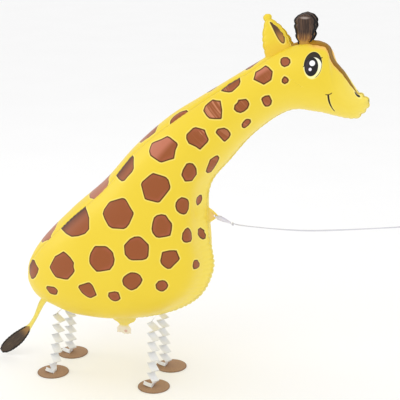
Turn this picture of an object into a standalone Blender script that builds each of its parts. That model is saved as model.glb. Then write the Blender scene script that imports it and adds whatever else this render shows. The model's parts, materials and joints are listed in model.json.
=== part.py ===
"""Giraffe foil balloon standing on four paper legs with cardboard feet.

The giraffe faces +X, its right side faces -Y, and its feet stand on the plane Z = 0.
The foil envelope is two side panels and a narrow back strip, blown up and sealed.
"""

import math

import bmesh
import bpy
from mathutils import Vector
from mathutils.bvhtree import BVHTree

# Overall size, floor to the tops of the horns, in metres
FIGURE_HEIGHT = 0.800

# Outlines below are drawn in millimetres on a figure this tall, and follow FIGURE_HEIGHT
DRAWN_HEIGHT = 800.0
DRAWN_MM = FIGURE_HEIGHT / DRAWN_HEIGHT

# Gap kept between pieces that touch
CLEARANCE = 0.0003

# Envelope sections from the tail seam to the tip of the muzzle, in drawn millimetres:
# back X, back Z, belly X, belly Z, half thickness
SECTIONS = (
    (-372, 149, -372, 149, 0),
    (-395, 203, -322, 137, 42),
    (-370, 271, -251, 120, 76),
    (-285, 362, -121, 133, 102),
    (-204, 436, -14, 182, 105),
    (-135, 513, 26, 256, 98),
    (-67, 574, 16, 343, 84),
    (1, 619, 19, 437, 68),
    (60, 657, 65, 498, 58),
    (116, 692, 120, 559, 53),
    (170, 725, 185, 603, 51),
    (222, 740, 242, 603, 50),
    (256, 732, 282, 596, 46),
    (266, 707, 300, 594, 42),
    (287, 683, 317, 594, 36),
    (315, 646, 335, 608, 22),
    (342, 624, 342, 624, 0),
)
SECTION_RINGS = 66
SECTION_SIDES = 28
BELLY_FULLNESS = 0.08

# Chest tab with the hole that the ribbon goes through
TAB_OUTLINE = ((10, 404), (24, 398), (37, 386), (41, 372), (37, 360), (24, 348), (10, 342))
TAB_THICKNESS = 0.0016
TAB_HOLE_AT = (32, 373)
TAB_HOLE_DIAMETER = 0.005

# Film valve that hangs from the filling neck
VALVE_AT = -174
VALVE_WIDTH = 0.031
VALVE_DROP = 0.037
VALVE_ROOT = 0.012
VALVE_THICKNESS = 0.0012

# Ears
EAR_HEIGHT = 0.078
EAR_WIDTH = 0.056
EAR_THICKNESS = 0.018
EAR_ROOT = 0.018
EAR_BASE_AT = (163, 715)
EAR_BACK_LEAN = math.radians(22)
EAR_INWARD_LEAN = math.radians(4)
EAR_SPACING = 0.026
EAR_PROFILE = (
    (0.00, 1.00, 0.70),
    (0.30, 0.92, 1.00),
    (0.52, 0.76, 0.95),
    (0.70, 0.52, 0.75),
    (0.82, 0.31, 0.55),
    (0.91, 0.29, 0.50),
    (0.97, 0.20, 0.36),
)

# Horns
HORN_HEIGHT = 0.058
HORN_WIDTH = 0.045
HORN_THICKNESS = 0.016
HORN_ROOT = 0.014
HORN_BASE_AT = (212, 735)
HORN_SPACING = 0.022
HORN_PROFILE = (
    (0.00, 0.62, 0.80),
    (0.16, 0.74, 0.85),
    (0.30, 0.90, 0.90),
    (0.42, 0.86, 0.95),
    (0.56, 1.00, 1.00),
    (0.74, 0.98, 1.00),
    (0.86, 0.78, 0.90),
    (0.94, 0.56, 0.70),
)
LOBE_SIDES = 16
LOBE_STEPS = 15

# Tail, from its seam in the rump down to the tip of the tuft: X, Z, width in drawn millimetres
TAIL_LINE = (
    (-357, 150, 15),
    (-367, 137, 14),
    (-376, 120, 12),
    (-383, 105, 10),
    (-391, 90, 9.5),
    (-400, 76, 11),
    (-412, 62, 21),
    (-429, 45, 29),
    (-447, 29, 29),
    (-461, 17, 22),
    (-469, 11, 10),
)
TAIL_SWING = 0.014
TAIL_THICKNESS = 0.0016
TAIL_STEPS = 30

# Legs: folded paper strips on slit cardboard discs
FOOT_DIAMETER = 0.068
FOOT_THICKNESS = 0.0016
FOOT_SIDES = 48
FOOT_TRACK = 0.108
FEET_TO_THE_RIGHT = 0.005
LEG_TOP_TRACK = 0.064
STRIP_WIDTH = 0.018
STRIP_THICKNESS = 0.0006
STRIP_PANEL = 0.026
STRIP_FOLD_DROP = 0.0105
SLIT_WIDTH = 0.0022
SLIT_MARGIN = 0.004

# Each leg: strip top X and foot X in drawn millimetres, and how far off centre its slit is
LEGS = {
    "rear_right": (-310, -319, 0.004),
    "rear_left": (-314, -321, -0.005),
    "front_right": (-92, -84, -0.002),
    "front_left": (-97, -83, -0.012),
}

# Ribbon
RIBBON_DIAMETER = 0.0016
RIBBON_SIDES = 2
RIBBON_STEPS = 78
LOOP_WIDTH = 0.0062
KNOT_AT = (71, 359.5)
KNOT_RADIUS = 0.0032
RIBBON_ROUTE = (
    (90, 358),
    (109, 357.5),
    (162, 357.5),
    (215, 359.5),
    (264, 364.5),
    (343, 375.5),
    (408, 385.5),
    (432, 389.5),
)
HANDLE_LENGTH = 0.046
HANDLE_WIDTH = 0.020

# Colours seen in the photo, as linear values
YELLOW = (0.93, 0.68, 0.045)
BLACK_BROWN = (0.035, 0.020, 0.012)
FILM = (0.86, 0.80, 0.55)
PAPER = (0.88, 0.88, 0.87)
CARD = (0.36, 0.20, 0.11)
RIBBON_WHITE = (0.90, 0.90, 0.92)


def drawn(x, z, y=0.0):
    """A point of the drawn side view, in metres, y metres to the giraffe's left."""
    return Vector((x * DRAWN_MM, y, z * DRAWN_MM))


def clear_scene():
    for item in list(bpy.data.objects):
        bpy.data.objects.remove(item)


def make_material(name, colour, roughness, metallic=0.0, alpha=1.0):
    material = bpy.data.materials.new(name)
    material.use_nodes = True
    shader = material.node_tree.nodes["Principled BSDF"]
    shader.inputs["Base Color"].default_value = (*colour, 1.0)
    shader.inputs["Roughness"].default_value = roughness
    shader.inputs["Metallic"].default_value = metallic
    shader.inputs["Alpha"].default_value = alpha
    return material


def add_object(name, bm, material, parent, smooth=True):
    """Turn a finished bmesh into a named object with outward faces."""
    bmesh.ops.recalc_face_normals(bm, faces=bm.faces)
    mesh = bpy.data.meshes.new(name)
    bm.to_mesh(mesh)
    bm.free()
    if smooth:
        mesh.shade_smooth()
        mesh.set_sharp_from_angle(angle=math.radians(50))
    mesh.materials.append(material)
    item = bpy.data.objects.new(name, mesh)
    bpy.context.collection.objects.link(item)
    item.parent = parent
    return item


def hide_cutter(item):
    item.hide_render = True
    item.display_type = "WIRE"


def cut(item, cutter):
    """Take the cutter's volume out of a piece."""
    step = item.modifiers.new("Cut " + cutter.name, "BOOLEAN")
    step.operation = "DIFFERENCE"
    step.solver = "EXACT"
    step.object = cutter


def join(item, other):
    """Fuse a hidden helper into a piece."""
    step = item.modifiers.new("Join " + other.name, "BOOLEAN")
    step.operation = "UNION"
    step.solver = "EXACT"
    step.object = other


def bridge_rings(bm, rings):
    """Skin closed rings of equal length; a ring with one point closes that end."""
    layers = [[bm.verts.new(point) for point in ring] for ring in rings]
    for lower, upper in zip(layers, layers[1:]):
        count = max(len(lower), len(upper))
        for i in range(count):
            j = (i + 1) % count
            corners = []
            for layer, order in ((lower, (i, j)), (upper, (j, i))):
                if len(layer) == 1:
                    corners.append(layer[0])
                else:
                    corners.extend(layer[k] for k in order)
            bm.faces.new(corners)
    for layer in (layers[0], layers[-1]):
        if len(layer) > 2:
            bm.faces.new(layer)


def smooth_curve(knots, rows, at):
    """Catmull-Rom value of each column of rows at a parameter between uneven knots."""
    last = len(knots) - 2
    i = min(last, max(0, sum(1 for k in knots[1:-1] if k <= at)))
    span = knots[i + 1] - knots[i]
    share = (at - knots[i]) / span

    def slope(k, column):
        before = max(0, k - 1)
        after = min(len(knots) - 1, k + 1)
        return (rows[after][column] - rows[before][column]) / (knots[after] - knots[before])

    values = []
    for column in range(len(rows[0])):
        start = rows[i][column]
        end = rows[i + 1][column]
        leave = slope(i, column) * span
        arrive = slope(i + 1, column) * span
        values.append(
            start * (2 * share**3 - 3 * share**2 + 1)
            + leave * (share**3 - 2 * share**2 + share)
            + end * (3 * share**2 - 2 * share**3)
            + arrive * (share**3 - share**2)
        )
    return values


def running_lengths(points):
    """Distance travelled at each point of a line."""
    lengths = [0.0]
    for before, after in zip(points, points[1:]):
        lengths.append(lengths[-1] + (after - before).length)
    return lengths


def envelope_section(knots, at):
    """Back point, belly point and half thickness of the envelope at a distance along it."""
    back_x, back_z, belly_x, belly_z, half = smooth_curve(knots, SECTIONS, at)
    return drawn(back_x, back_z), drawn(belly_x, belly_z), half * DRAWN_MM


def envelope_ring(back, belly, half):
    """One closed section: an oval, a little fuller towards the belly."""
    centre = (back + belly) / 2
    reach = (back - belly) / 2
    ring = []
    for i in range(SECTION_SIDES):
        turn = 2 * math.pi * i / SECTION_SIDES
        across = half * math.sin(turn) * (1 - BELLY_FULLNESS * math.cos(turn))
        ring.append(centre + reach * math.cos(turn) + Vector((0, across, 0)))
    return ring


def envelope_bmesh(grow=0.0):
    """The blown-up envelope, or a copy grown outwards for cutting its neighbours."""
    middles = [(drawn(s[0], s[1]) + drawn(s[2], s[3])) / 2 for s in SECTIONS]
    knots = running_lengths(middles)
    rings = [[drawn(SECTIONS[0][0], SECTIONS[0][1])]]
    for i in range(1, SECTION_RINGS):
        even = i / SECTION_RINGS
        eased = 0.5 - 0.5 * math.cos(math.pi * even)
        at = knots[-1] * (0.6 * even + 0.4 * eased)
        rings.append(envelope_ring(*envelope_section(knots, at)))
    rings.append([drawn(SECTIONS[-1][0], SECTIONS[-1][1])])
    bm = bmesh.new()
    bridge_rings(bm, rings)
    bmesh.ops.recalc_face_normals(bm, faces=bm.faces)
    if grow:
        bm.normal_update()
        moves = [(vert, vert.normal * grow) for vert in bm.verts]
        for vert, move in moves:
            vert.co += move
    return bm


def plate_bmesh(outline, thickness):
    """A flat plate in the middle plane with the drawn outline."""
    near = [point + Vector((0, -thickness / 2, 0)) for point in outline]
    far = [point + Vector((0, thickness / 2, 0)) for point in outline]
    bm = bmesh.new()
    bridge_rings(bm, [near, far])
    return bm


def rod_bmesh(centre, direction, diameter, length, sides):
    """A straight round rod centred on a point."""
    bm = bmesh.new()
    bmesh.ops.create_cone(
        bm,
        cap_ends=True,
        segments=sides,
        radius1=diameter / 2,
        radius2=diameter / 2,
        depth=length,
    )
    turn = Vector((0, 0, 1)).rotation_difference(direction)
    for vert in bm.verts:
        vert.co = turn @ vert.co + centre
    return bm


def add_body(parent, foil):
    """The foil envelope with its chest tab and the tab's hole."""
    body = add_object("balloon_body", envelope_bmesh(), foil, parent)
    tab = add_object(
        "chest_tab",
        plate_bmesh([drawn(*corner) for corner in TAB_OUTLINE], TAB_THICKNESS),
        foil,
        parent,
        smooth=False,
    )
    hide_cutter(tab)
    join(body, tab)
    hole = add_object(
        "tab_hole",
        rod_bmesh(drawn(*TAB_HOLE_AT), Vector((0, 1, 0)), TAB_HOLE_DIAMETER, TAB_THICKNESS * 4, 24),
        foil,
        parent,
    )
    hide_cutter(hole)
    cut(body, hole)
    return body


def lobe_bmesh(base, up, side, sizes, profile, root):
    """A puffed foil lobe: oval sections along its height, rounded off at the tip."""
    height, width, thickness = sizes
    normal = side.cross(up).normalized()
    shares = [row[0] for row in profile] + [1.0]
    rows = [row[1:] for row in profile] + [(0.0, 0.0)]
    rings = []
    foot = [(-root / height, *rows[0])]
    body = []
    for i in range(LOBE_STEPS):
        at = math.sin(0.5 * math.pi * i / LOBE_STEPS)
        body.append((at, *smooth_curve(shares, rows, at)))
    for at, wide, thick in foot + body:
        centre = base + up * (at * height)
        ring = []
        for k in range(LOBE_SIDES):
            turn = 2 * math.pi * k / LOBE_SIDES
            across = side * (math.cos(turn) * wide * width / 2)
            ring.append(centre + across + normal * (math.sin(turn) * thick * thickness / 2))
        rings.append(ring)
    rings.append([base + up * height])
    bm = bmesh.new()
    bridge_rings(bm, rings)
    return bm


def add_ear(name, left, parent, foil, body_room):
    """One ear, standing on the back strip behind the horns."""
    outward = 1 if left else -1
    base = drawn(*EAR_BASE_AT, y=outward * EAR_SPACING / 2)
    up = Vector((-math.sin(EAR_BACK_LEAN), -outward * math.sin(EAR_INWARD_LEAN), 1)).normalized()
    along = Vector((1, 0, 0))
    side = (along - up * along.dot(up)).normalized()
    sizes = (EAR_HEIGHT, EAR_WIDTH, EAR_THICKNESS)
    ear = add_object(name, lobe_bmesh(base, up, side, sizes, EAR_PROFILE, EAR_ROOT), foil, parent)
    cut(ear, body_room)
    return ear


def add_horn(name, left, parent, foil, body_room):
    """One horn, a dark lobe on top of the head."""
    outward = 1 if left else -1
    base = drawn(*HORN_BASE_AT, y=outward * HORN_SPACING / 2)
    sizes = (HORN_HEIGHT, HORN_WIDTH, HORN_THICKNESS)
    up = Vector((0, 0, 1))
    side = Vector((1, 0, 0))
    horn = add_object(
        name, lobe_bmesh(base, up, side, sizes, HORN_PROFILE, HORN_ROOT), foil, parent
    )
    cut(horn, body_room)
    return horn


def flat_strap_bmesh(centres, widths, thickness):
    """A flat strap that follows a line and faces sideways."""
    bm = bmesh.new()
    rings = []
    for i, centre in enumerate(centres):
        ahead = centres[min(i + 1, len(centres) - 1)] - centres[max(i - 1, 0)]
        across = ahead.cross(Vector((0, 1, 0))).normalized()
        face = ahead.cross(across).normalized()
        half = across * (widths[i] / 2)
        edge = face * (thickness / 2)
        rings.append([centre - half, centre - edge, centre + half, centre + edge])
    bridge_rings(bm, rings)
    return bm


def add_tail(parent, foil, body_room):
    """The tail strap with its leaf-shaped tuft, swung a little to the giraffe's right."""
    points = [drawn(x, z) for x, z, _ in TAIL_LINE]
    knots = running_lengths(points)
    centres = []
    widths = []
    for i in range(TAIL_STEPS + 1):
        at = knots[-1] * i / TAIL_STEPS
        x, z, wide = smooth_curve(knots, TAIL_LINE, at)
        swing = -TAIL_SWING * (at / knots[-1]) ** 2
        centres.append(drawn(x, z, y=swing))
        widths.append(wide * DRAWN_MM)
    tail = add_object(
        "tail", flat_strap_bmesh(centres, widths, TAIL_THICKNESS), foil, parent, smooth=False
    )
    cut(tail, body_room)
    return tail


def add_valve(parent, film, body_room, body_tree):
    """The flat film valve below the filling neck."""
    centre = VALVE_AT * DRAWN_MM
    underside = height_under(body_tree, centre, 0.0)
    top = underside + VALVE_ROOT
    bottom = underside - VALVE_DROP
    half = VALVE_WIDTH / 2
    outline = [
        Vector((centre - half, 0, top)),
        Vector((centre - half, 0, bottom)),
        Vector((centre - half * 0.3, 0, bottom + 0.002)),
        Vector((centre + half * 0.4, 0, bottom - 0.001)),
        Vector((centre + half, 0, bottom + 0.003)),
        Vector((centre + half, 0, top)),
    ]
    valve = add_object(
        "filling_valve", plate_bmesh(outline, VALVE_THICKNESS), film, parent, smooth=False
    )
    cut(valve, body_room)
    return valve


def height_under(tree, x, y):
    """Height of the envelope's underside above a point of the floor."""
    hit = tree.ray_cast(Vector((x, y, 0)), Vector((0, 0, 1)))
    return hit[0].z


def folded_line(start, end, sideways, half_panel):
    """Fold points of a leg strip, zigzagging about the line from start to end."""
    folds = max(4, round((start.z - end.z) / STRIP_FOLD_DROP))
    points = [start]
    for i in range(1, folds):
        middle = start.lerp(end, i / folds)
        points.append(middle + Vector(((-1) ** i * sideways * half_panel, 0, 0)))
    points.append(end)
    return points


def strip_bmesh(points, width, thickness):
    """A flat strip of even thickness bent at each point, wide across the body."""
    bm = bmesh.new()
    rings = []
    for i, point in enumerate(points):
        before = (point - points[max(i - 1, 0)]).normalized()
        after = (points[min(i + 1, len(points) - 1)] - point).normalized()
        ahead = (before + after).normalized()
        across = Vector((0, 1, 0))
        face = ahead.cross(across).normalized()
        flat = before if i else after
        mitre = 1 / max(0.3, abs(face.dot(flat.cross(across).normalized())))
        edge = face * (thickness / 2 * mitre)
        half = across * (width / 2)
        rings.append([point - half - edge, point + half - edge, point + half + edge, point - half + edge])
    bridge_rings(bm, rings)
    return bm


def add_leg(name, parent, paper, body_tree, left):
    """One accordion-folded paper strip from under the belly into its foot's slit."""
    outward = 1 if left else -1
    top_at, foot_at, slit_offset = LEGS[name]
    half_panel = math.sqrt(STRIP_PANEL**2 - STRIP_FOLD_DROP**2) / 2
    top_x = top_at * DRAWN_MM
    top_y = outward * LEG_TOP_TRACK / 2
    slit_x = foot_at * DRAWN_MM + slit_offset
    foot_y = outward * FOOT_TRACK / 2 - FEET_TO_THE_RIGHT
    room = []
    for share in (0.0, 0.3, 0.6, 1.0):
        for edge in (-0.5, 0.0, 0.5):
            x = top_x - share * half_panel
            y = top_y + edge * STRIP_WIDTH
            room.append(height_under(body_tree, x, y) + share * STRIP_FOLD_DROP)
    top_z = min(room) - CLEARANCE - STRIP_THICKNESS
    start = Vector((top_x, top_y, top_z))
    neck = Vector((slit_x, foot_y, FOOT_THICKNESS + 0.004))
    points = folded_line(start, neck, 1, half_panel)
    points.append(Vector((slit_x, foot_y, CLEARANCE)))
    strip = strip_bmesh(points, STRIP_WIDTH, STRIP_THICKNESS)
    return add_object("leg_" + name, strip, paper, parent, smooth=False)


def add_foot(name, parent, card, left):
    """One cardboard disc with the slit for its leg strip."""
    outward = 1 if left else -1
    _, foot_at, slit_offset = LEGS[name]
    foot_y = outward * FOOT_TRACK / 2 - FEET_TO_THE_RIGHT
    centre = Vector((foot_at * DRAWN_MM, foot_y, FOOT_THICKNESS / 2))
    disc = rod_bmesh(centre, Vector((0, 0, 1)), FOOT_DIAMETER, FOOT_THICKNESS, FOOT_SIDES)
    foot = add_object("foot_" + name, disc, card, parent)
    slit = bmesh.new()
    bmesh.ops.create_cube(slit, size=1.0)
    size = Vector((SLIT_WIDTH, STRIP_WIDTH + 2 * SLIT_MARGIN, FOOT_THICKNESS * 3))
    slit_centre = centre + Vector((slit_offset, 0, 0))
    for vert in slit.verts:
        vert.co = vert.co * size + slit_centre
    cutter = add_object(name + "_slit", slit, card, parent, smooth=False)
    hide_cutter(cutter)
    cut(foot, cutter)
    return foot


def add_cord(name, points, white, parent, closed=False):
    """A round cord through the given points."""
    curve = bpy.data.curves.new(name, "CURVE")
    curve.dimensions = "3D"
    curve.bevel_depth = RIBBON_DIAMETER / 2
    curve.bevel_resolution = RIBBON_SIDES
    curve.use_fill_caps = not closed
    line = curve.splines.new("POLY")
    line.points.add(len(points) - 1)
    for spot, point in zip(line.points, points):
        spot.co = (*point, 1.0)
    line.use_cyclic_u = closed
    curve.materials.append(white)
    cord = bpy.data.objects.new(name, curve)
    bpy.context.collection.objects.link(cord)
    cord.parent = parent
    return cord


def racetrack(start, end, sideways, width, steps=10):
    """Closed line around the way from start to end, with round ends."""
    along = (end - start).normalized()
    half = width / 2
    points = []
    for centre, out in ((start + along * half, -1), (end - along * half, 1)):
        for i in range(steps + 1):
            turn = math.pi * i / steps
            points.append(
                centre
                + along * (out * half * math.sin(turn))
                + sideways * (-out * half * math.cos(turn))
            )
    return points


def add_knot(name, centre, white, parent):
    """A small round knot."""
    bm = bmesh.new()
    bmesh.ops.create_uvsphere(bm, u_segments=14, v_segments=8, radius=KNOT_RADIUS)
    for vert in bm.verts:
        vert.co += centre
    return add_object(name, bm, white, parent)


def add_ribbon(parent, white):
    """The doubled loop through the tab, its knot, the single ribbon and its handle."""
    hole = drawn(*TAB_HOLE_AT)
    knot = drawn(*KNOT_AT)
    along = (knot - hole).normalized()
    touch = KNOT_RADIUS + RIBBON_DIAMETER / 2 + CLEARANCE
    loop = racetrack(hole, knot - along * touch, Vector((0, 1, 0)), LOOP_WIDTH)
    add_cord("ribbon_loop", loop, white, parent, closed=True)
    add_knot("ribbon_knot", knot, white, parent)

    route = [drawn(x, z) for x, z in RIBBON_ROUTE]
    leave = (route[0] - knot).normalized()
    route.insert(0, knot + leave * (KNOT_RADIUS + CLEARANCE))
    knots = running_lengths(route)
    rows = [tuple(point) for point in route]
    ribbon = []
    for i in range(RIBBON_STEPS):
        ribbon.append(Vector(smooth_curve(knots, rows, knots[-1] * i / (RIBBON_STEPS - 1))))
    add_cord("ribbon", ribbon, white, parent)

    arrive = (ribbon[-1] - ribbon[-2]).normalized()
    far_knot = ribbon[-1] + arrive * (KNOT_RADIUS + CLEARANCE)
    add_knot("handle_knot", far_knot, white, parent)
    near_end = far_knot + arrive * touch
    handle = racetrack(
        near_end, near_end + arrive * HANDLE_LENGTH, Vector((0, 1, 0)), HANDLE_WIDTH, steps=14
    )
    add_cord("ribbon_handle", handle, white, parent, closed=True)


def centre_on_origin(frame, pieces):
    """Move the whole figure so that its outline is centred over the origin."""
    bpy.context.view_layer.update()
    depsgraph = bpy.context.evaluated_depsgraph_get()
    corners = []
    for piece in pieces:
        evaluated = piece.evaluated_get(depsgraph)
        corners.extend(evaluated.matrix_world @ vert.co for vert in evaluated.data.vertices)
    middle_x = (min(c.x for c in corners) + max(c.x for c in corners)) / 2
    middle_y = (min(c.y for c in corners) + max(c.y for c in corners)) / 2
    frame.location = (-middle_x, -middle_y, 0)


def build():
    clear_scene()
    frame = bpy.data.objects.new("giraffe_frame", None)
    bpy.context.collection.objects.link(frame)
    foil = make_material("yellow_foil", YELLOW, 0.38)
    dark_foil = make_material("dark_foil", BLACK_BROWN, 0.35)
    film = make_material("valve_film", FILM, 0.25, alpha=0.8)
    paper = make_material("white_paper", PAPER, 0.8)
    card = make_material("brown_card", CARD, 0.85)
    white = make_material("white_ribbon", RIBBON_WHITE, 0.4)

    body = add_body(frame, foil)
    room = add_object("body_room", envelope_bmesh(CLEARANCE), foil, frame)
    hide_cutter(room)
    body_tree = BVHTree.FromBMesh(envelope_bmesh())

    pieces = [body]
    for left, side in ((False, "right"), (True, "left")):
        pieces.append(add_ear("ear_" + side, left, frame, foil, room))
        pieces.append(add_horn("horn_" + side, left, frame, dark_foil, room))
        for name in ("rear_" + side, "front_" + side):
            pieces.append(add_leg(name, frame, paper, body_tree, left))
            pieces.append(add_foot(name, frame, card, left))
    pieces.append(add_tail(frame, foil, room))
    pieces.append(add_valve(frame, film, room, body_tree))
    add_ribbon(frame, white)
    centre_on_origin(frame, pieces)


build()
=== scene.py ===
"""Looks of the giraffe foil balloon: printed foil, paper legs, card feet and ribbon.

The drawn side view is in millimetres, as in the part's source, and faces +X.
"""

import json
import math

import bmesh
import bpy
import numpy as np
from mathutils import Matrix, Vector
from mathutils.kdtree import KDTree

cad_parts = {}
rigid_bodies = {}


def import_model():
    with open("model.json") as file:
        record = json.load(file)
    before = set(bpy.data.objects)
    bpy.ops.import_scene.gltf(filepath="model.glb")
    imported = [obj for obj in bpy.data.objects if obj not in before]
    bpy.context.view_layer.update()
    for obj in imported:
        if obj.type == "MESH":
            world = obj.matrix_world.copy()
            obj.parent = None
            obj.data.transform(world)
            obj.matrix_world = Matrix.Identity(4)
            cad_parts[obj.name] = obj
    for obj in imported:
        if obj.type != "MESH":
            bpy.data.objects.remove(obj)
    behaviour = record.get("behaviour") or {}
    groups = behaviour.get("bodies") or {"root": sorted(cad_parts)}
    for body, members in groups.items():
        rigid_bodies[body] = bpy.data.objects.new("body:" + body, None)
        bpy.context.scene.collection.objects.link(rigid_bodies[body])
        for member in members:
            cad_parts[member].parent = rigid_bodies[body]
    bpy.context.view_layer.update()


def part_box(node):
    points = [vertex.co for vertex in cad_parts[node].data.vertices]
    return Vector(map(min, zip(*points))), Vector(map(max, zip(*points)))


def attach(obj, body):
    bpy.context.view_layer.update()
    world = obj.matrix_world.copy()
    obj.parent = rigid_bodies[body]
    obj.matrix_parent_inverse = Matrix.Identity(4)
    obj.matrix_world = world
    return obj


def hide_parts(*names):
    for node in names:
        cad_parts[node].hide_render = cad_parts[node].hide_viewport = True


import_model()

for item in list(bpy.data.objects):
    if item.type in {"CAMERA", "LIGHT"} or item.name == "Cube":
        bpy.data.objects.remove(item)

MM = 0.001
TINY = 1e-12
# Where the drawing's origin lies along the frame's X, in metres
SHIFT = 0.06498
FORWARD = np.array((1.0, 0, 0))
ACROSS = np.array((0, 1.0, 0))
UP = np.array((0, 0, 1.0))
rng = np.random.default_rng(11)


# ---- Camera: the photo's viewing angle and distance ----

CAMERA_AZIMUTH = math.radians(18)
CAMERA_ELEVATION = math.radians(16)
CAMERA_DISTANCE = 2.2
CAMERA_TARGET = Vector((SHIFT, 0, 0.404))
CAMERA_LENS = 96.59
CAMERA_SENSOR = 36
CAMERA_CLIP = 50


def add_camera():
    camera = bpy.data.objects.new("camera", bpy.data.cameras.new("camera"))
    bpy.context.collection.objects.link(camera)
    level = math.cos(CAMERA_ELEVATION)
    back = Vector(
        (
            math.sin(CAMERA_AZIMUTH) * level,
            -math.cos(CAMERA_AZIMUTH) * level,
            math.sin(CAMERA_ELEVATION),
        )
    )
    camera.location = CAMERA_TARGET + back * CAMERA_DISTANCE
    camera.rotation_euler = back.to_track_quat("Z", "Y").to_euler()
    camera.data.lens = CAMERA_LENS
    camera.data.sensor_width = CAMERA_SENSOR
    camera.data.clip_end = CAMERA_CLIP
    bpy.context.scene.camera = camera


add_camera()


# ---- Mesh helpers ----

WELD = 1e-6
# Bends in degrees from which an edge is shaded sharp
TUBE_BEND = 50
FILM_BEND = 60
CARD_BEND = 35


def drawn(x, z, y=0.0):
    """A point of the drawn side view, in metres."""
    return np.array((x * MM + SHIFT, y, z * MM))


def unit(vector):
    return vector / np.linalg.norm(vector)


def mesh_object(name, points, faces, material, smooth=True, sharp=None):
    mesh = bpy.data.meshes.new(name)
    mesh.from_pydata([tuple(p) for p in points], [], faces)
    mesh.update()
    if smooth:
        mesh.shade_smooth()
    if sharp:
        mesh.set_sharp_from_angle(angle=math.radians(sharp))
    mesh.materials.append(material)
    made = bpy.data.objects.new(name, mesh)
    bpy.context.collection.objects.link(made)
    return made


def outward(made, weld=False):
    """Turn all faces of a closed mesh outwards, and join doubled points if asked."""
    bm = bmesh.new()
    bm.from_mesh(made.data)
    if weld:
        bmesh.ops.remove_doubles(bm, verts=bm.verts, dist=WELD)
    bmesh.ops.recalc_face_normals(bm, faces=bm.faces)
    bm.to_mesh(made.data)
    bm.free()


def store(made, name, values):
    """Keep one number or one vector for each vertex."""
    values = np.asarray(values, dtype=np.float32)
    kind = "FLOAT" if values.ndim == 1 else "FLOAT_VECTOR"
    layer = made.data.attributes.new(name, kind, "POINT")
    layer.data.foreach_set("value" if kind == "FLOAT" else "vector", values.ravel())


def quads(rows, count, around=False, closed=False, start=0):
    """Faces between rows of count points; closed joins the last row to the first."""
    made = []
    for i in range(rows if closed else rows - 1):
        a = start + i * count
        b = start + (i + 1) % rows * count
        for j in range(count if around else count - 1):
            k = (j + 1) % count
            made.append((a + j, a + k, b + k, b + j))
    return made


def both_sides(front, shift):
    """Faces of a sheet's front, and of its back, whose points come shift places later."""
    return front + [tuple(k + shift for k in reversed(quad)) for quad in front]


def tube(name, rings, material, closed=False):
    """Skin a list of rings, each a list of points."""
    count = len(rings[0])
    faces = quads(len(rings), count, around=True, closed=closed)
    if not closed:
        faces.append(tuple(range(count)))
        faces.append(tuple(range((len(rings) - 1) * count, len(rings) * count)))
    points = [point for ring in rings for point in ring]
    return mesh_object(name, points, faces, material, sharp=TUBE_BEND)


def around_strip(columns):
    """Face and place across of the points all round a flat strip."""
    return [(side, side * (1 - 2 * k / columns)) for side in (1, -1) for k in range(columns + 1)]


def hermite(knots, rows, at):
    """Smooth values of each column of rows at parameters between uneven knots."""
    rows = np.asarray(rows, float)
    knots = np.asarray(knots, float)
    at = np.atleast_1d(at)
    i = np.clip(np.searchsorted(knots, at, side="right") - 1, 0, len(knots) - 2)
    span = knots[i + 1] - knots[i]
    q = ((at - knots[i]) / span)[:, None]

    def slope(k):
        before = np.maximum(0, k - 1)
        after = np.minimum(len(knots) - 1, k + 1)
        return (rows[after] - rows[before]) / (knots[after] - knots[before])[:, None]

    leave = slope(i) * span[:, None]
    arrive = slope(i + 1) * span[:, None]
    return (
        rows[i] * (2 * q**3 - 3 * q**2 + 1)
        + leave * (q**3 - 2 * q**2 + q)
        + rows[i + 1] * (3 * q**2 - 2 * q**3)
        + arrive * (q**3 - q**2)
    )


def table_at(table, at):
    """Straight-line values at places between a table's rows of place and value."""
    places, values = np.array(table, float).T
    return np.interp(at, places, values)


def lengths(points):
    steps = np.linalg.norm(np.diff(np.asarray(points, float), axis=0), axis=1)
    return np.concatenate([[0.0], np.cumsum(steps)])


# ---- Material helpers ----


def srgb(red, green, blue):
    """A colour seen in the photo, as linear values."""
    out = []
    for value in (red, green, blue):
        share = value / 255
        out.append(share / 12.92 if share <= 0.04045 else ((share + 0.055) / 1.055) ** 2.4)
    return (*out, 1.0)


class Value:
    """A number that a shader node gives; sums and products of it are Math nodes."""

    def __init__(self, maker, socket):
        self.maker = maker
        self.socket = socket

    def __add__(self, other):
        return self.maker.math("ADD", self, other)

    def __sub__(self, other):
        return self.maker.math("SUBTRACT", self, other)

    def __rsub__(self, other):
        return self.maker.math("SUBTRACT", other, self)

    def __mul__(self, other):
        return self.maker.math("MULTIPLY", self, other)

    def __truediv__(self, other):
        return self.maker.math("DIVIDE", self, other)

    def __abs__(self):
        return self.maker.math("ABSOLUTE", self)

    __radd__ = __add__
    __rmul__ = __mul__


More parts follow.
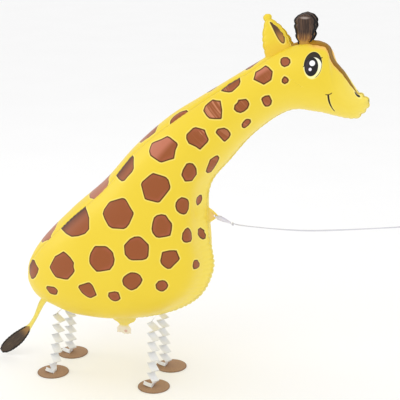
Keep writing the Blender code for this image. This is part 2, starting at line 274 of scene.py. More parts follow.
class Maker:
    """Adds and joins the shader nodes of one material."""

    def __init__(self, name):
        self.material = bpy.data.materials.new(name)
        self.material.use_nodes = True
        self.tree = self.material.node_tree
        self.shader = self.tree.nodes["Principled BSDF"]

    def put(self, socket, value):
        if isinstance(value, Value):
            value = value.socket
        if isinstance(value, bpy.types.NodeSocket):
            self.tree.links.new(value, socket)
        else:
            socket.default_value = value

    def set(self, **values):
        for name, value in values.items():
            self.put(self.shader.inputs[name.replace("_", " ")], value)

    def add(self, kind, values=None, **settings):
        node = self.tree.nodes.new(kind)
        for key, value in settings.items():
            setattr(node, key, value)
        for key, value in (values or {}).items():
            self.put(node.inputs[key], value)
        return node

    def math(self, operation, *values):
        node = self.add("ShaderNodeMath", dict(enumerate(values)), operation=operation)
        return Value(self, node.outputs[0])

    def number(self, name):
        node = self.add("ShaderNodeAttribute", attribute_name=name)
        return Value(self, node.outputs["Fac"])

    def parts(self, name):
        """The three numbers of a vector kept on the mesh."""
        kept = self.add("ShaderNodeAttribute", attribute_name=name).outputs["Vector"]
        split = self.add("ShaderNodeSeparateXYZ", {"Vector": kept})
        return [Value(self, output) for output in split.outputs]

    def place(self):
        return self.add("ShaderNodeTexCoord").outputs["Object"]

    def rise(self, value, start, end):
        """0 up to start and 1 from end on; the other way round if end is less."""
        limits = {
            "Value": value,
            "From Min": min(start, end),
            "From Max": max(start, end),
            "To Min": float(start > end),
            "To Max": float(start < end),
        }
        node = self.add(
            "ShaderNodeMapRange", limits, interpolation_type="SMOOTHSTEP", clamp=True
        )
        return Value(self, node.outputs["Result"])

    def window(self, value, start, full, fading, end):
        """1 between full and fading, 0 outside start and end."""
        return self.rise(value, start, full) * self.rise(value, end, fading)

    def mix(self, share, first, second):
        """Two colours, each a socket or red, green and blue from 0 to 255, in shares."""
        first, second = (srgb(*c) if isinstance(c, tuple) else c for c in (first, second))
        node = self.add("ShaderNodeMix", {0: share, 6: first, 7: second}, data_type="RGBA")
        return node.outputs[2]

    def noise(self, scale, detail=3.0, roughness=0.5, where=None, stretch=None):
        where = where or self.place()
        if stretch:
            moved = self.add("ShaderNodeMapping", {"Vector": where, "Scale": stretch})
            where = moved.outputs["Vector"]
        settings = {"Vector": where, "Scale": scale, "Detail": detail, "Roughness": roughness}
        return Value(self, self.add("ShaderNodeTexNoise", settings).outputs["Fac"])

    def bump(self, height, distance, strength):
        settings = {"Height": height, "Distance": distance, "Strength": strength}
        return self.add("ShaderNodeBump", settings).outputs["Normal"]

    def ellipse(self, u, v, centre, size, turn=0.0):
        """Distance from a centre in shares of an oval's half sizes: 1 on the oval."""
        cosine, sine = math.cos(turn), math.sin(turn)
        du, dv = u - centre[0], v - centre[1]
        along = (du * cosine + dv * sine) / size[0]
        over = (dv * cosine - du * sine) / size[1]
        square = self.math("POWER", along, 2.0) + self.math("POWER", over, 2.0)
        return self.math("SQRT", square)


# ---- Ribbon: a flat ribbon held taut, with its doubled loop, knots and handle ----

RIBBON_WIDTH = 0.0032
RIBBON_THICKNESS = 0.0003
RIBBON_OVAL = ((1, 0), (0.94, 1), (-0.94, 1), (-1, 0), (-0.94, -1), (0.94, -1))
RIBBON_STEPS = 160
# The ribbon's turn about its own line in radians, and its half swings on the way
RIBBON_LEAN = 0.25
RIBBON_SWAY = 0.35
RIBBON_SWAYS = 3.2
LOOP_WIDTH = 0.0062
LOOP_THICKNESS = 0.0004
LOOP_END_STEPS = 10
# Width of the loop's ribbon at places past the tab's hole, in metres
LOOP_SPREAD = ((0.0, 0.0032), (0.004, 0.0040), (0.010, 0.0088), (0.020, 0.0070), (0.034, 0.0024))
TAB_HOLE = (32, 373)
KNOT_AT = (71, 359.5)
KNOT_RADIUS = 0.0032
TREFOIL_REACH = 3.4
TREFOIL_DEPTH = 1.5
KNOT_SCALE = KNOT_RADIUS / TREFOIL_REACH
KNOT_TILT = 0.31
KNOT_STRAND = 0.00105
KNOT_STEPS = 96
KNOT_SIDES = 10
RIBBON_ROUTE = (
    (90, 358), (109, 357.5), (162, 357.5), (215, 359.5), (264, 364.5), (343, 375.5),
    (408, 385.5), (432, 389.5),
)
HANDLE_LENGTH = 0.046
HANDLE_WIDTH = 0.020
HANDLE_RIBBON_WIDTH = 0.003
HANDLE_END_STEPS = 14
TRACK_STEP = 0.0015
CORD_DIAMETER = 0.0016
GAP = 0.0003


def ribbon_material(name, low, high):
    m = Maker(name)
    streak = m.noise(900, 2, stretch=(0.05, 1, 1))
    m.set(
        Base_Color=m.mix(streak, low, high),
        Roughness=0.28 + streak * 0.2,
        Normal=m.bump(streak, 0.0002, 0.5),
    )
    return m.material


def flat_rings(line, width, thickness, twist=0.0, closed=False):
    """Oval rings along a line, wide upright and thin sideways, turned by twist."""
    rings = []
    count = len(line)
    widths = np.broadcast_to(width, count)
    twists = np.broadcast_to(twist, count)
    for i, point in enumerate(line):
        if closed:
            ahead = unit(line[(i + 1) % count] - line[i - 1])
        else:
            ahead = unit(line[min(i + 1, count - 1)] - line[max(i - 1, 0)])
        side = unit(np.cross(ahead, UP))
        up = np.cross(side, ahead)
        cosine, sine = math.cos(twists[i]), math.sin(twists[i])
        wide = (up * cosine + side * sine) * (widths[i] / 2)
        thin = (side * cosine - up * sine) * (thickness / 2)
        rings.append([point + wide * a + thin * b for a, b in RIBBON_OVAL])
    return rings


def racetrack(start, end, width, steps):
    """Closed line around the way from start to end, with round ends."""
    along = unit(end - start)
    half = width / 2
    points = []
    for centre, out in ((start + along * half, -1), (end - along * half, 1)):
        for i in range(steps + 1):
            turn = math.pi * i / steps
            points.append(
                centre + (along * math.sin(turn) - ACROSS * math.cos(turn)) * (out * half)
            )
    fine = []
    for i, point in enumerate(points):
        after = points[(i + 1) % len(points)]
        parts = max(1, round(np.linalg.norm(after - point) / TRACK_STEP))
        fine.extend(point + (after - point) * k / parts for k in range(parts))
    return fine


def knot_mesh(name, centre, along, material):
    """A pulled overhand knot: one small ribbon tube wound through itself."""
    side = unit(np.cross(along, UP))
    up = np.cross(side, along)
    line = []
    for i in range(KNOT_STEPS):
        t = 2 * math.pi * i / KNOT_STEPS
        x = math.sin(t) + 2 * math.sin(2 * t)
        y = math.cos(t) - 2 * math.cos(2 * t)
        z = -math.sin(3 * t) * TREFOIL_DEPTH
        line.append(centre + (up * x + side * y + along * z) * KNOT_SCALE)
    angles = [2 * math.pi * k / KNOT_SIDES for k in range(KNOT_SIDES)]
    rings = []
    for i, point in enumerate(line):
        ahead = unit(line[(i + 1) % KNOT_STEPS] - line[i - 1])
        one = unit(np.cross(ahead, side + along * KNOT_TILT))
        two = np.cross(ahead, one)
        rings.append(
            [point + (one * math.cos(a) + two * math.sin(a)) * KNOT_STRAND for a in angles]
        )
    return tube(name, rings, material, closed=True)


def add_ribbon():
    white = ribbon_material("white_ribbon", (196, 196, 203), (222, 222, 228))
    satin = ribbon_material("satin_ribbon", (212, 210, 226), (232, 231, 243))
    hole = drawn(*TAB_HOLE)
    knot = drawn(*KNOT_AT)
    along = unit(knot - hole)
    touch = KNOT_RADIUS + CORD_DIAMETER / 2 + GAP

    track = racetrack(hole, knot - along * touch, LOOP_WIDTH, LOOP_END_STEPS)
    spread = table_at(LOOP_SPREAD, [(point - hole) @ along for point in track])
    rings = flat_rings(track, spread, LOOP_THICKNESS, closed=True)
    loop = tube("loop_of_ribbon", rings, satin, closed=True)
    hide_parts("ribbon_loop")

    first_knot = knot_mesh("knot_of_ribbon", knot, along, white)
    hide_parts("ribbon_knot")

    route = [drawn(x, z) for x, z in RIBBON_ROUTE]
    leave = unit(route[0] - knot)
    route.insert(0, knot + leave * (KNOT_RADIUS + GAP))
    knots = lengths(route)
    line = list(hermite(knots, route, np.linspace(0, knots[-1], RIBBON_STEPS)))
    phase = np.linspace(0, RIBBON_SWAYS * math.pi, RIBBON_STEPS)
    twist = RIBBON_SWAY * np.sin(phase) + RIBBON_LEAN
    rings = flat_rings(line, RIBBON_WIDTH, RIBBON_THICKNESS, twist)
    ribbon = tube("taut_ribbon", rings, white)
    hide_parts("ribbon")

    arrive = unit(line[-1] - line[-2])
    far = line[-1] + arrive * (KNOT_RADIUS + GAP)
    far_knot = knot_mesh("knot_of_handle", far, arrive, white)
    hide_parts("handle_knot")
    near_end = far + arrive * touch
    far_end = near_end + arrive * HANDLE_LENGTH
    track = racetrack(near_end, far_end, HANDLE_WIDTH, HANDLE_END_STEPS)
    rings = flat_rings(track, HANDLE_RIBBON_WIDTH, LOOP_THICKNESS, closed=True)
    handle = tube("loop_of_handle", rings, white, closed=True)
    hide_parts("ribbon_handle")

    for piece in (loop, first_knot, ribbon, far_knot, handle):
        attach(piece, "root")
    tuple(line[0])
    float(lengths(line)[-1])
    [tuple(p) for p in line]


add_ribbon()


# ---- Envelope shape, from the same sections as the part's source ----

# Back x and z, belly x and z, and half width of each section, in millimetres
SECTIONS = (
    (-372, 149, -372, 149, 0), (-395, 203, -322, 137, 42), (-370, 271, -251, 120, 76),
    (-285, 362, -121, 133, 102), (-204, 436, -14, 182, 105), (-135, 513, 26, 256, 98),
    (-67, 574, 16, 343, 84), (1, 619, 19, 437, 68), (60, 657, 65, 498, 58),
    (116, 692, 120, 559, 53), (170, 725, 185, 603, 51), (222, 740, 242, 603, 50),
    (256, 732, 282, 596, 46), (266, 707, 300, 594, 42), (287, 683, 316, 595.5, 36),
    (315, 646, 332, 611, 22), (327, 641, 337, 619.5, 14), (335, 634, 338.5, 626, 5),
    (337.5, 630, 337.5, 630, 0),
)
BELLY_FULLNESS = 0.08
STRIP_REACH = 0.94
STRIP_SHARES = (0.05, 0.62)
ROWS = np.array(SECTIONS, float)
SECTION_KNOTS = lengths((ROWS[:, 0:2] + ROWS[:, 2:4]) / 2)
REACH = SECTION_KNOTS[-1]
END_MARGIN = 0.6
# Steps along and round the envelope over which its slope is taken
SLOPE_STEP = 0.3
SLOPE_TURN = 0.002
LEAST_HALF_WIDTH = 0.01

# Half width of the back strip: distance along the envelope, half width, in millimetres
STRIP_HALF_WIDTH = (
    (0, 0), (30, 22), (80, 37), (130, 43), (172, 46), (247, 47), (310, 45), (350, 42),
    (394, 37), (450, 38), (501, 38.5), (540, 35), (590, 30), (626, 27.5), (641, 24),
    (668, 24.5), (690, 27), (713, 24.5), (742, 21), (780, 15.5), (805, 12.5), (826, 13.5),
    (840, 19), (855, 17.5), (867, 14), (875, 17.5), (890, 15), (909, 14), (923, 10), (931, 6),
    (940, 2), (955.8, 0),
)


def surface(at, turn):
    """Points in metres; turn is 0 at the back, pi at the belly, positive to the right side."""
    rows = hermite(SECTION_KNOTS, ROWS, at)
    middle = (rows[:, 0:2] + rows[:, 2:4]) / 2
    reach = (rows[:, 0:2] - rows[:, 2:4]) / 2
    side = middle + reach * np.cos(turn)[:, None]
    across = -rows[:, 4] * np.sin(turn) * (1 - BELLY_FULLNESS * np.cos(turn))
    return np.stack([side[:, 0] * MM + SHIFT, across * MM, side[:, 1] * MM], 1)


def surface_normal(at, turn):
    low = np.clip(at, END_MARGIN, REACH - END_MARGIN)
    d_at = surface(low + SLOPE_STEP, turn) - surface(low - SLOPE_STEP, turn)
    d_turn = surface(low, turn + SLOPE_TURN) - surface(low, turn - SLOPE_TURN)
    normal = np.cross(d_turn, d_at)
    size = np.linalg.norm(normal, axis=1)[:, None]
    return normal / np.maximum(size, TINY)


def strip_angle(at):
    """Angle of the seam between the back strip and a side panel."""
    half = np.maximum(hermite(SECTION_KNOTS, ROWS, at)[:, 4], LEAST_HALF_WIDTH)
    share = table_at(STRIP_HALF_WIDTH, at) / (half * STRIP_REACH)
    return np.arcsin(np.clip(share, *STRIP_SHARES))


# Outlines of the printed spots, each a row of pairs: distance along the envelope in
# millimetres and angle from the back in degrees
PANEL_SPOTS = (
    (165, 57, 171, 61, 177, 66, 180, 72, 174, 75, 172, 79, 163, 81, 144, 84, 137, 83, 117, 77.5,
     114, 72, 112, 64, 116, 62.5, 138, 56.4, 152, 57),
    (245, 68.6, 269, 73.5, 273, 77.2, 276, 80.2, 272, 83.8, 271, 85.5, 261.5, 88.8, 248, 90.9,
     226, 88.7, 218.5, 87.5, 215, 82.6, 214, 78.5, 221, 74.2, 228, 71.7, 239.5, 69.4),
    (168, 20, 250, 18, 256, 36.8, 257, 44, 248, 53.6, 234, 55.1, 215, 53.1, 198, 49.5,
     185, 42.2, 172, 30.1),
    (74, 39, 76.6, 48.6, 80.5, 56.6, 72.4, 60.4, 60.6, 63, 51, 62.1, 44, 58, 44, 44, 52, 34,
     66, 32),
    (80, 82, 87, 83.6, 99, 86.5, 102, 90.3, 100, 92.9, 91, 96.5, 84, 96.4, 75, 93.1,
     74.5, 84.6),
    (189.5, 92.8, 192, 96.9, 189, 101.4, 185, 106.5, 181.5, 107, 166, 108.3, 160, 106.3,
     155, 100.6, 156, 94, 162, 92.5, 182, 92.7),
    (213, 107.6, 227, 108.5, 233, 110.8, 229, 113.9, 226, 116.9, 218, 118.2, 210, 118.2,
     205, 115.9, 205, 111),
    (396, 12, 400, 25.8, 403, 29.4, 398, 41.3, 392, 42.7, 378, 42.3, 369, 42.3, 362, 40.3,
     356, 35.3, 349.5, 26.5, 344, 14),
    (490, 43.8, 497, 48.3, 514, 61.6, 516, 64.9, 508, 67.1, 500, 72.8, 486, 68.5, 466, 62.9,
     460, 60, 442, 46.1, 441, 40.5, 444, 37.6, 450, 34.3, 457, 35.9, 473, 40.4),
    (438, 61.4, 453, 69.3, 466, 76.2, 471, 81.2, 470, 87, 466, 87.8, 449, 85.7, 428, 83.3,
     422, 81.8, 415, 78.5, 397, 70.2, 398, 67.2, 402, 58.6, 407, 57.8, 428, 59.8),
    (490, 107.1, 500, 114, 507, 121.3, 506, 125, 496, 126.2, 483, 122.8, 474, 118.3, 464, 110.9,
     458.5, 104.8, 461, 101.6, 467, 101, 477, 102.7),
    (319.5, 45, 350, 52.2, 356, 54.9, 358, 58.2, 359, 63.2, 361, 69.5, 355, 70.5, 340, 72.3,
     330, 72.5, 323, 71.6, 300, 65.1, 294, 61.8, 292, 54.2, 292.3, 49.2, 299, 46.7, 313, 45.1),
    (417.5, 89.7, 427, 94.4, 427, 97.5, 430, 103.7, 420, 105.2, 409, 105.9, 400, 103.3, 383, 98,
     378, 95.7, 376, 91.5, 379, 88.9, 387.5, 86.8, 397, 85.4, 406, 86.4),
    (337, 81.7, 348, 84.7, 351, 87.7, 355, 94.1, 350, 96.1, 339, 99.4, 331, 99.6, 322, 98.1,
     303, 93.5, 298, 91.5, 296, 86.6, 305.5, 80.9, 312, 80.5, 325, 80.3),
    (370, 106, 386, 110.7, 400, 116.7, 397, 119.6, 393, 123.5, 386, 122.9, 371, 120.9, 361, 120,
     355, 117.9, 352, 114.8, 351, 110.6, 354, 108.7, 362, 107.4),
    (465, 128.5, 468, 134.7, 466, 139.1, 455.5, 139.7, 447, 136.1, 433, 126.8, 427.5, 122.3,
     428, 119, 440, 118.9, 454, 122.9),
    (543, 158.8, 544, 165.1, 536, 168.1, 529, 163.7, 524, 156.9, 523.6, 152.5, 527, 148,
     534, 149),
    (489, 165.9, 484, 172.3, 475, 175, 468, 174.3, 467, 169.4, 470, 163.2, 476, 158.5,
     484, 159.6),
    (417, 142.5, 424, 150.5, 421, 152.6, 418, 156.3, 410, 154.8, 402.5, 150.4, 396, 143.9,
     401, 140.9, 409.5, 140.7),
    (284, 100, 293.5, 102.5, 297, 105.6, 295, 109.9, 285, 112.1, 271, 113.8, 258, 113.7,
     254, 111, 251.5, 106.4, 256, 102.5, 264, 100.4, 274, 99.8),
    (321, 118.4, 331, 120.9, 333, 123.7, 329.5, 127.5, 321, 128.7, 309, 128.6, 304, 126.1,
     303, 122.6, 309, 119.1),
    (606, 40.9, 614.5, 46.4, 628, 53, 631, 60.2, 635, 69.9, 635, 82.3, 632, 81.8, 615, 74.7,
     603, 69.3, 594, 61.6, 584, 49.9, 587, 43.6, 594, 41.9),
    (624, 34, 628, 18, 664, 16, 673, 32.6, 677, 41.9, 675, 47.9, 666, 50.3, 657, 51.7,
     647.5, 48.4, 633, 40.1),
    (676.5, 72.9, 697, 81, 703, 87.5, 706, 94.1, 702, 99.4, 693, 100.1, 683, 97.3, 673, 90.4,
     665.5, 82.6, 667, 76.8, 674, 76.3),
    (695, 114.6, 700.5, 117.6, 706, 122.8, 706, 129.4, 699.5, 132.1, 692, 131.6, 688, 129.7,
     684, 123.7, 684, 117.6, 688, 115.5),
    (625, 91.6, 641, 97.7, 650, 105.1, 656, 114.7, 656, 118.5, 651, 121.1, 640, 120.5,
     637, 117.9, 628, 105.4, 619, 95, 620, 92.5),
    (560, 63.5, 567.5, 65.7, 581, 73, 592.5, 79.4, 596, 86.1, 602, 96.3, 599, 98.8, 590, 99.4,
     578, 99.7, 567, 90.4, 546.5, 76.8, 540, 68.1, 541, 63.4),
    (613, 129.2, 618, 132, 620, 140.3, 614.5, 146.2, 602, 153.7, 591, 157.4, 584, 150.7,
     582, 141.8, 586, 137.4, 598.5, 126.9),
    (543, 97.6, 553, 104.1, 559, 112.1, 561, 117.4, 559, 125.1, 539.5, 120.1, 515, 104.1,
     509, 93.4, 518.5, 92, 533, 93),
    (741, 41.3, 750, 49.8, 761, 63.5, 760, 70.7, 758, 77.6, 752, 78.4, 740, 78.2, 731, 70.7,
     712, 55.5, 714, 48.6, 715, 41.7, 728.5, 42.8),
    (742, 97.8, 752, 101.5, 754, 107.5, 756, 114.6, 753, 121.1, 747, 122.6, 740, 118.3,
     736.5, 111.2, 733, 99.7, 735, 97.6),
    (783, 43, 792, 46, 798, 52.6, 799, 58.8, 795, 63.8, 786.5, 64.7, 780, 59.8, 777, 52.6,
     777.5, 45),
    (786, 79.9, 792, 83.8, 795, 88.5, 792, 92.9, 785, 94.4, 779.5, 89.7, 780, 84.4, 783, 81.9),
)
STRIP_SPOTS = (
    (155, 18.7, 152, 23.2, 138, 28.1, 137, 33, 126, 29.6, 108, 25, 100, 16, 104, 4, 118, -6,
     138, -8, 152, 0, 157, 12),
    (325, 17.2, 327, 24.2, 318, 28.5, 302, 31, 285, 31, 267, 21.8, 262, 12, 268, 0, 284, -8,
     306, -8, 322, 0, 328, 10),
    (461, 18.2, 459.5, 22.9, 444, 21.8, 422, 17.2, 414, 9, 424, -2, 440, -8, 455, -4, 463, 8),
    (495, 38, 497.4, 24.8, 504, 20.1, 520, 20, 538, 26.5, 550, 40),
    (685.5, 17.1, 696, 21.5, 705.5, 18.4, 714, 11.9, 722, 4, 716, -10, 698, -12, 684, -2,
     680, 10),
    (580, 8, 592, 13, 604, 10, 606, -4, 594, -12, 582, -4),
    (205, -8, 222, -4, 232, -14, 226, -24, 208, -22, 200, -15),
    (372, -8, 384, -4, 396, -12, 392, -24, 376, -26, 366, -16),
    (548, -6, 560, -4, 566, -18, 556, -28, 544, -22),
)


def signed_distance(points, outline):
    """Distance of flat points to a closed outline, negative inside."""
    nearest = np.full(len(points), np.inf)
    inside = np.zeros(len(points), bool)
    for a, b in zip(outline, np.roll(outline, -1, axis=0)):
        edge = b - a
        to_point = points - a
        share = np.clip(to_point @ edge / max(edge @ edge, TINY), 0, 1)
        gap = np.linalg.norm(to_point - share[:, None] * edge, axis=1)
        nearest = np.minimum(nearest, gap)
        crosses = (a[1] > points[:, 1]) != (b[1] > points[:, 1])
        rise = b[1] - a[1]
        if abs(rise) > TINY:
            reach = a[0] + edge[0] * (points[:, 1] - a[1]) / rise
            inside ^= crosses & (points[:, 0] < reach)
    return np.where(inside, -nearest, nearest)


SPOT_FAR = 99.0
SPOT_MARGIN = 0.012
# Least agreement of a point's normal with its spot's, and a direction no spot faces
SPOT_FACING = 0.15
SPOT_GUIDE = (0.13, 0.2, 0.97)


def spot_distance(points, normals, spots, sign):
    """Distance in millimetres from each point to the nearest printed spot, negative inside."""
    nearest = np.full(len(points), SPOT_FAR)
    for spot in spots:
        at, turn = np.reshape(spot, (-1, 2)).astype(float).T
        turn = np.radians(turn) * sign
        corners = surface(at, turn)
        centre = corners.mean(axis=0)
        normal = unit(surface_normal(at, turn).mean(axis=0))
        first = unit(np.cross(normal, SPOT_GUIDE))
        flat_axes = np.stack([first, np.cross(normal, first)], 1)
        radius = np.linalg.norm(corners - centre, axis=1).max() + SPOT_MARGIN
        near = np.linalg.norm(points - centre, axis=1) < radius
        near &= normals @ normal > SPOT_FACING
        flat = (points[near] - centre) @ flat_axes
        outline = (corners - centre) @ flat_axes
        nearest[near] = np.minimum(nearest[near], signed_distance(flat, outline) / MM)
    return nearest


# Flat drawing planes of the face prints: where each touches the right side, as distance
# along the envelope in millimetres and angle in degrees, and how far it is used in metres
FACE_PLANES = {
    "eye": (838.1, 65.8, 0.045),
    "mouth": (867.5, 121.6, 0.040),
    "nostril": (936.6, 33.5, 0.017),
}
HEAD_FROM = 770
NOT_ON_PLANE = 999.0


def plane_places(points, plane):
    """Flat places in millimetres, forward and up, around a point of the right side."""
    at, turn, reach = plane
    at, turn = np.array([at]), np.radians([turn])
    origin = surface(at, turn)[0]
    normal = surface_normal(at, turn)[0]
    forward = unit(FORWARD - normal * normal[0])
    upward = np.cross(normal, forward)
    away = points - origin
    places = np.stack([away @ forward, away @ upward, np.zeros(len(points))], 1) / MM
    places[np.linalg.norm(away, axis=1) > reach] = NOT_ON_PLANE
    return places


# Bulges between the creases along the sealed edge: place, height, length, in millimetres
PUCKER_TABLE = (
    (0, 1.5, 14), (60, 1.4, 20), (180, 1.3, 24), (290, 1.8, 28), (360, 2.9, 34), (470, 3.1, 34),
    (540, 1.8, 26), (620, 0.8, 20), (800, 0.7, 15), (880, 0.9, 14), (905, 2.0, 13),
    (925, 4.4, 13), (956, 5.0, 13),
)
# Depth to which the sealed edge is drawn in: place, depth, in millimetres
PINCH_TABLE = (
    (0, 1.5), (40, 3.0), (300, 2.6), (420, 1.8), (560, 1.8), (660, 2.6), (900, 2.4), (956, 2.2),
)
# Flattening of the panels beside the sealed edge: place and depth in millimetres
FLAT_TABLE = (
    (0, 1.0), (60, 4.0), (180, 5.5), (300, 8.5), (400, 10.0), (520, 8.0), (600, 3.0),
    (680, 1.0), (956, 0.4),
)
FLAT_AWAY = 31
FLAT_SPREAD = 23
FLAT_SPREAD_PANEL = 40
# How far the panels run out towards the sealed edge: place and reach in millimetres
RIDGE_TABLE = (
    (0, 0), (60, 0.8), (300, 1.0), (360, 1.8), (420, 3.6), (560, 3.6), (620, 1.8), (680, 0.4),
    (956, 0),
)
RIDGE_FADE = 15
PUCKER_POWER = 1.25
PINCH_REACH = 8.5
PINCH_POWER = 1.2
BULGE_POWER = 0.75
MUZZLE_FROM = 900
MUZZLE_STRETCH = 1.4
SEAM_END = 938
SEAM_STEPS = 900
SEAM_END_STEPS = 40
# Least and greatest length and height of the bulges along the sealed edge and the strip
SEAM_CELLS = (9.5, 14.5)
SEAM_HEIGHTS = (0.75, 1.2)
STRIP_CELLS = (8, 15)
STRIP_HEIGHTS = (0.5, 1.3)
CELLS_OVER = 30
# The strip's seams in millimetres: depth and spread of the valley; height, place and
# spread of the swell beside it; size, reach and power of the puckers
VALLEY = (1.1, 2.4)
SWELL = (0.45, 9, 5)
STRIP_PUCKER = (0.9, 10, 1.3)
STRIP_FADE = 25
DENT_DEPTH = 0.35


def cells(total, low, high):
    """Uneven crease places along a seam."""
    marks = [0.0]
    while marks[-1] < total:
        marks.append(marks[-1] + rng.uniform(low, high))
    return np.array(marks)


def bulge(places, marks, heights):
    """Rounded bulges between sharp creases, from about -0.5 to 0.5."""
    i = np.clip(np.searchsorted(marks, places) - 1, 0, len(marks) - 2)
    share = np.clip((places - marks[i]) / (marks[i + 1] - marks[i]), 0, 1)
    return (np.sin(np.pi * share) ** BULGE_POWER - 0.5) * heights[i]


class Seam:
    """The sealed edge under the tail, belly, throat and round the muzzle."""

    def __init__(self):
        at = np.linspace(0, REACH, SEAM_STEPS)
        under = surface(at, np.full(len(at), math.pi))
        back_at = np.linspace(REACH, SEAM_END, SEAM_END_STEPS)[1:]
        over = surface(back_at, np.zeros(len(back_at)))
        self.points = np.concatenate([under, over])
        self.at = np.concatenate([at, np.full(len(over), REACH)])
        self.along = lengths(self.points) / MM
        self.out = np.cross(np.gradient(self.points, axis=0), ACROSS)
        self.out /= np.linalg.norm(self.out, axis=1)[:, None]
        if self.out[SEAM_STEPS // 3][2] > 0:
            self.out = -self.out
        marks = cells(self.along[-1] + CELLS_OVER, *SEAM_CELLS)
        muzzle = float(np.interp(MUZZLE_FROM, self.at, self.along))
        stretched = muzzle + (marks - muzzle) * MUZZLE_STRETCH
        self.marks = np.where(marks > muzzle, stretched, marks)
        self.heights = rng.uniform(*SEAM_HEIGHTS, len(self.marks))
        places, heights, spans = np.array(PUCKER_TABLE, float).T
        self.height = np.interp(self.at, places, heights)
        self.length = np.interp(self.at, places, spans)
        self.pinch = table_at(PINCH_TABLE, self.at)
        self.ridge = table_at(RIDGE_TABLE, self.at)
        self.tree = KDTree(len(self.points))
        for i, point in enumerate(self.points):
            self.tree.insert(point, i)
        self.tree.balance()

    def nearest(self, points):
        index = np.array([self.tree.find(p)[1] for p in points])
        return index, np.linalg.norm(points - self.points[index], axis=1) / MM

    def moves(self, index, gap, normals):
        """Movement in metres of points at a distance from the seam."""
        bulges = bulge(self.along[index], self.marks, self.heights)
        fade = np.exp(-((gap / self.length[index]) ** PUCKER_POWER))
        pucker = self.height[index] * bulges * fade
        pinch = self.pinch[index] * np.exp(-((gap / PINCH_REACH) ** PINCH_POWER))
        flat = table_at(FLAT_TABLE, self.at[index])
        spread = np.where(gap < FLAT_AWAY, FLAT_SPREAD, FLAT_SPREAD_PANEL)
        pucker = pucker - flat * np.exp(-(((gap - FLAT_AWAY) / spread) ** 2))
        pinch = pinch - self.ridge[index] * np.exp(-gap / RIDGE_FADE)
        return normals * (pucker * MM)[:, None] - self.out[index] * (pinch * MM)[:, None]


seam = Seam()
strip_marks = cells(REACH + CELLS_OVER, *STRIP_CELLS)
strip_heights = rng.uniform(*STRIP_HEIGHTS, len(strip_marks))


def strip_moves(at, gap, normals):
    """Valley and small puckers along the seams of the back strip."""
    depth, spread = VALLEY
    height, place, width = SWELL
    size, reach, power = STRIP_PUCKER
    valley = -depth * np.exp(-((gap / spread) ** 2))
    swell = height * np.exp(-(((gap - place) / width) ** 2))
    small = bulge(at, strip_marks, strip_heights) * np.exp(-((gap / reach) ** power))
    fade = np.clip(np.minimum(at, REACH - at) / STRIP_FADE, 0, 1)
    return normals * ((valley + swell + size * small) * fade * MM)[:, None]


def soft_dents(points, normals):
    """Slow unevenness of blown-up foil."""
    x, y, z = points.T
    wave = (
        np.sin(31 * x + 17 * z + 2.0)
        + np.sin(43 * z - 23 * x + 9 * y)
        + 0.6 * np.sin(71 * x + 37 * y - 53 * z + 1.0)
    )
    return normals * (DENT_DEPTH * wave * MM)[:, None]


PANEL_COLUMNS = 92
STRIP_COLUMNS = 30
DENT_FADE = 30
# Start, end and number of rings of each stretch: closer at the tail end and on the head
RING_STRETCHES = ((END_MARGIN, 60, 36), (60, 780, 268), (780, REACH - END_MARGIN, 126))


def shaped(at, turn):
    """Surface points with every seam, pucker and dent, and what the prints need."""
    points = surface(at, turn)
    normals = surface_normal(at, turn)
    edge = surface(at, strip_angle(at) * np.where(turn < 0, -1, 1))
    strip_gap = np.linalg.norm(points - edge, axis=1) / MM
    index, gap = seam.nearest(points)
    moved = points + seam.moves(index, gap, normals) + strip_moves(at, strip_gap, normals)
    fade = np.clip(gap / DENT_FADE, 0, 1)[:, None]
    moved = moved + soft_dents(points, normals) * fade
    return points, normals, moved, strip_gap, gap


def add_envelope(material):
    last = RING_STRETCHES[-1]
    at = np.concatenate([np.linspace(*row, endpoint=row is last) for row in RING_STRETCHES])
    angle = strip_angle(at)[:, None]
    even = np.linspace(0, 1, PANEL_COLUMNS + 1)
    eased = 0.5 * even + 0.5 * (0.5 - 0.5 * np.cos(np.pi * even))
    panel_turns = angle + (math.pi - angle) * eased
    strip_turns = angle * np.linspace(-1, 1, STRIP_COLUMNS + 1)
    points, faces = [], []
    kept = {name: [] for name in ("spot", "strip_gap", "seam_gap", "place", *FACE_PLANES)}
    start = 0
    for turns, on_strip, sign in ((panel_turns, 0, 1), (strip_turns, 1, 1), (-panel_turns, 0, -1)):
        count = turns.shape[1]
        turn = turns.ravel()
        ats = np.repeat(at, count)
        base, normals, moved, strip_gap, seam_gap = shaped(ats, turn)
        spots = STRIP_SPOTS if on_strip else PANEL_SPOTS
        kept["spot"].append(spot_distance(base, normals, spots, sign))
        kept["strip_gap"].append(strip_gap)
        kept["seam_gap"].append(seam_gap)
        flags = np.full(len(ats), on_strip)
        kept["place"].append(np.stack([ats, np.degrees(np.abs(turn)), flags], 1))
        for name, plane in FACE_PLANES.items():
            places = plane_places(base * np.array((1, sign, 1)), plane)
            places[(ats <= HEAD_FROM) | (flags > 0)] = NOT_ON_PLANE
            kept[name].append(places)
        points.append(moved)
        island = quads(len(at), count, start=start)
        faces += island if sign > 0 else [quad[::-1] for quad in island]
        start += len(moved)
    made = mesh_object("foil_envelope", np.concatenate(points), faces, material)
    bm = bmesh.new()
    bm.from_mesh(made.data)
    bm.normal_update()
    bm.faces.ensure_lookup_table()
    if bm.faces[len(bm.faces) // 5].normal.y > 0:
        bmesh.ops.reverse_faces(bm, faces=bm.faces)
    bm.to_mesh(made.data)
    bm.free()
    for name, values in kept.items():
        store(made, name, np.concatenate(values))
    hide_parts("balloon_body")
    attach(made, "root")


EDGE_HALF_THICKNESS = 0.00018
# The film's inner line, rim and scallops, in millimetres, and its middle line's share
EDGE_INNER = 1.6
EDGE_MIDDLE = 0.45
EDGE_PROUD = 0.2
SCALLOP = 2.0
SCALLOP_PUCKER = 2.5


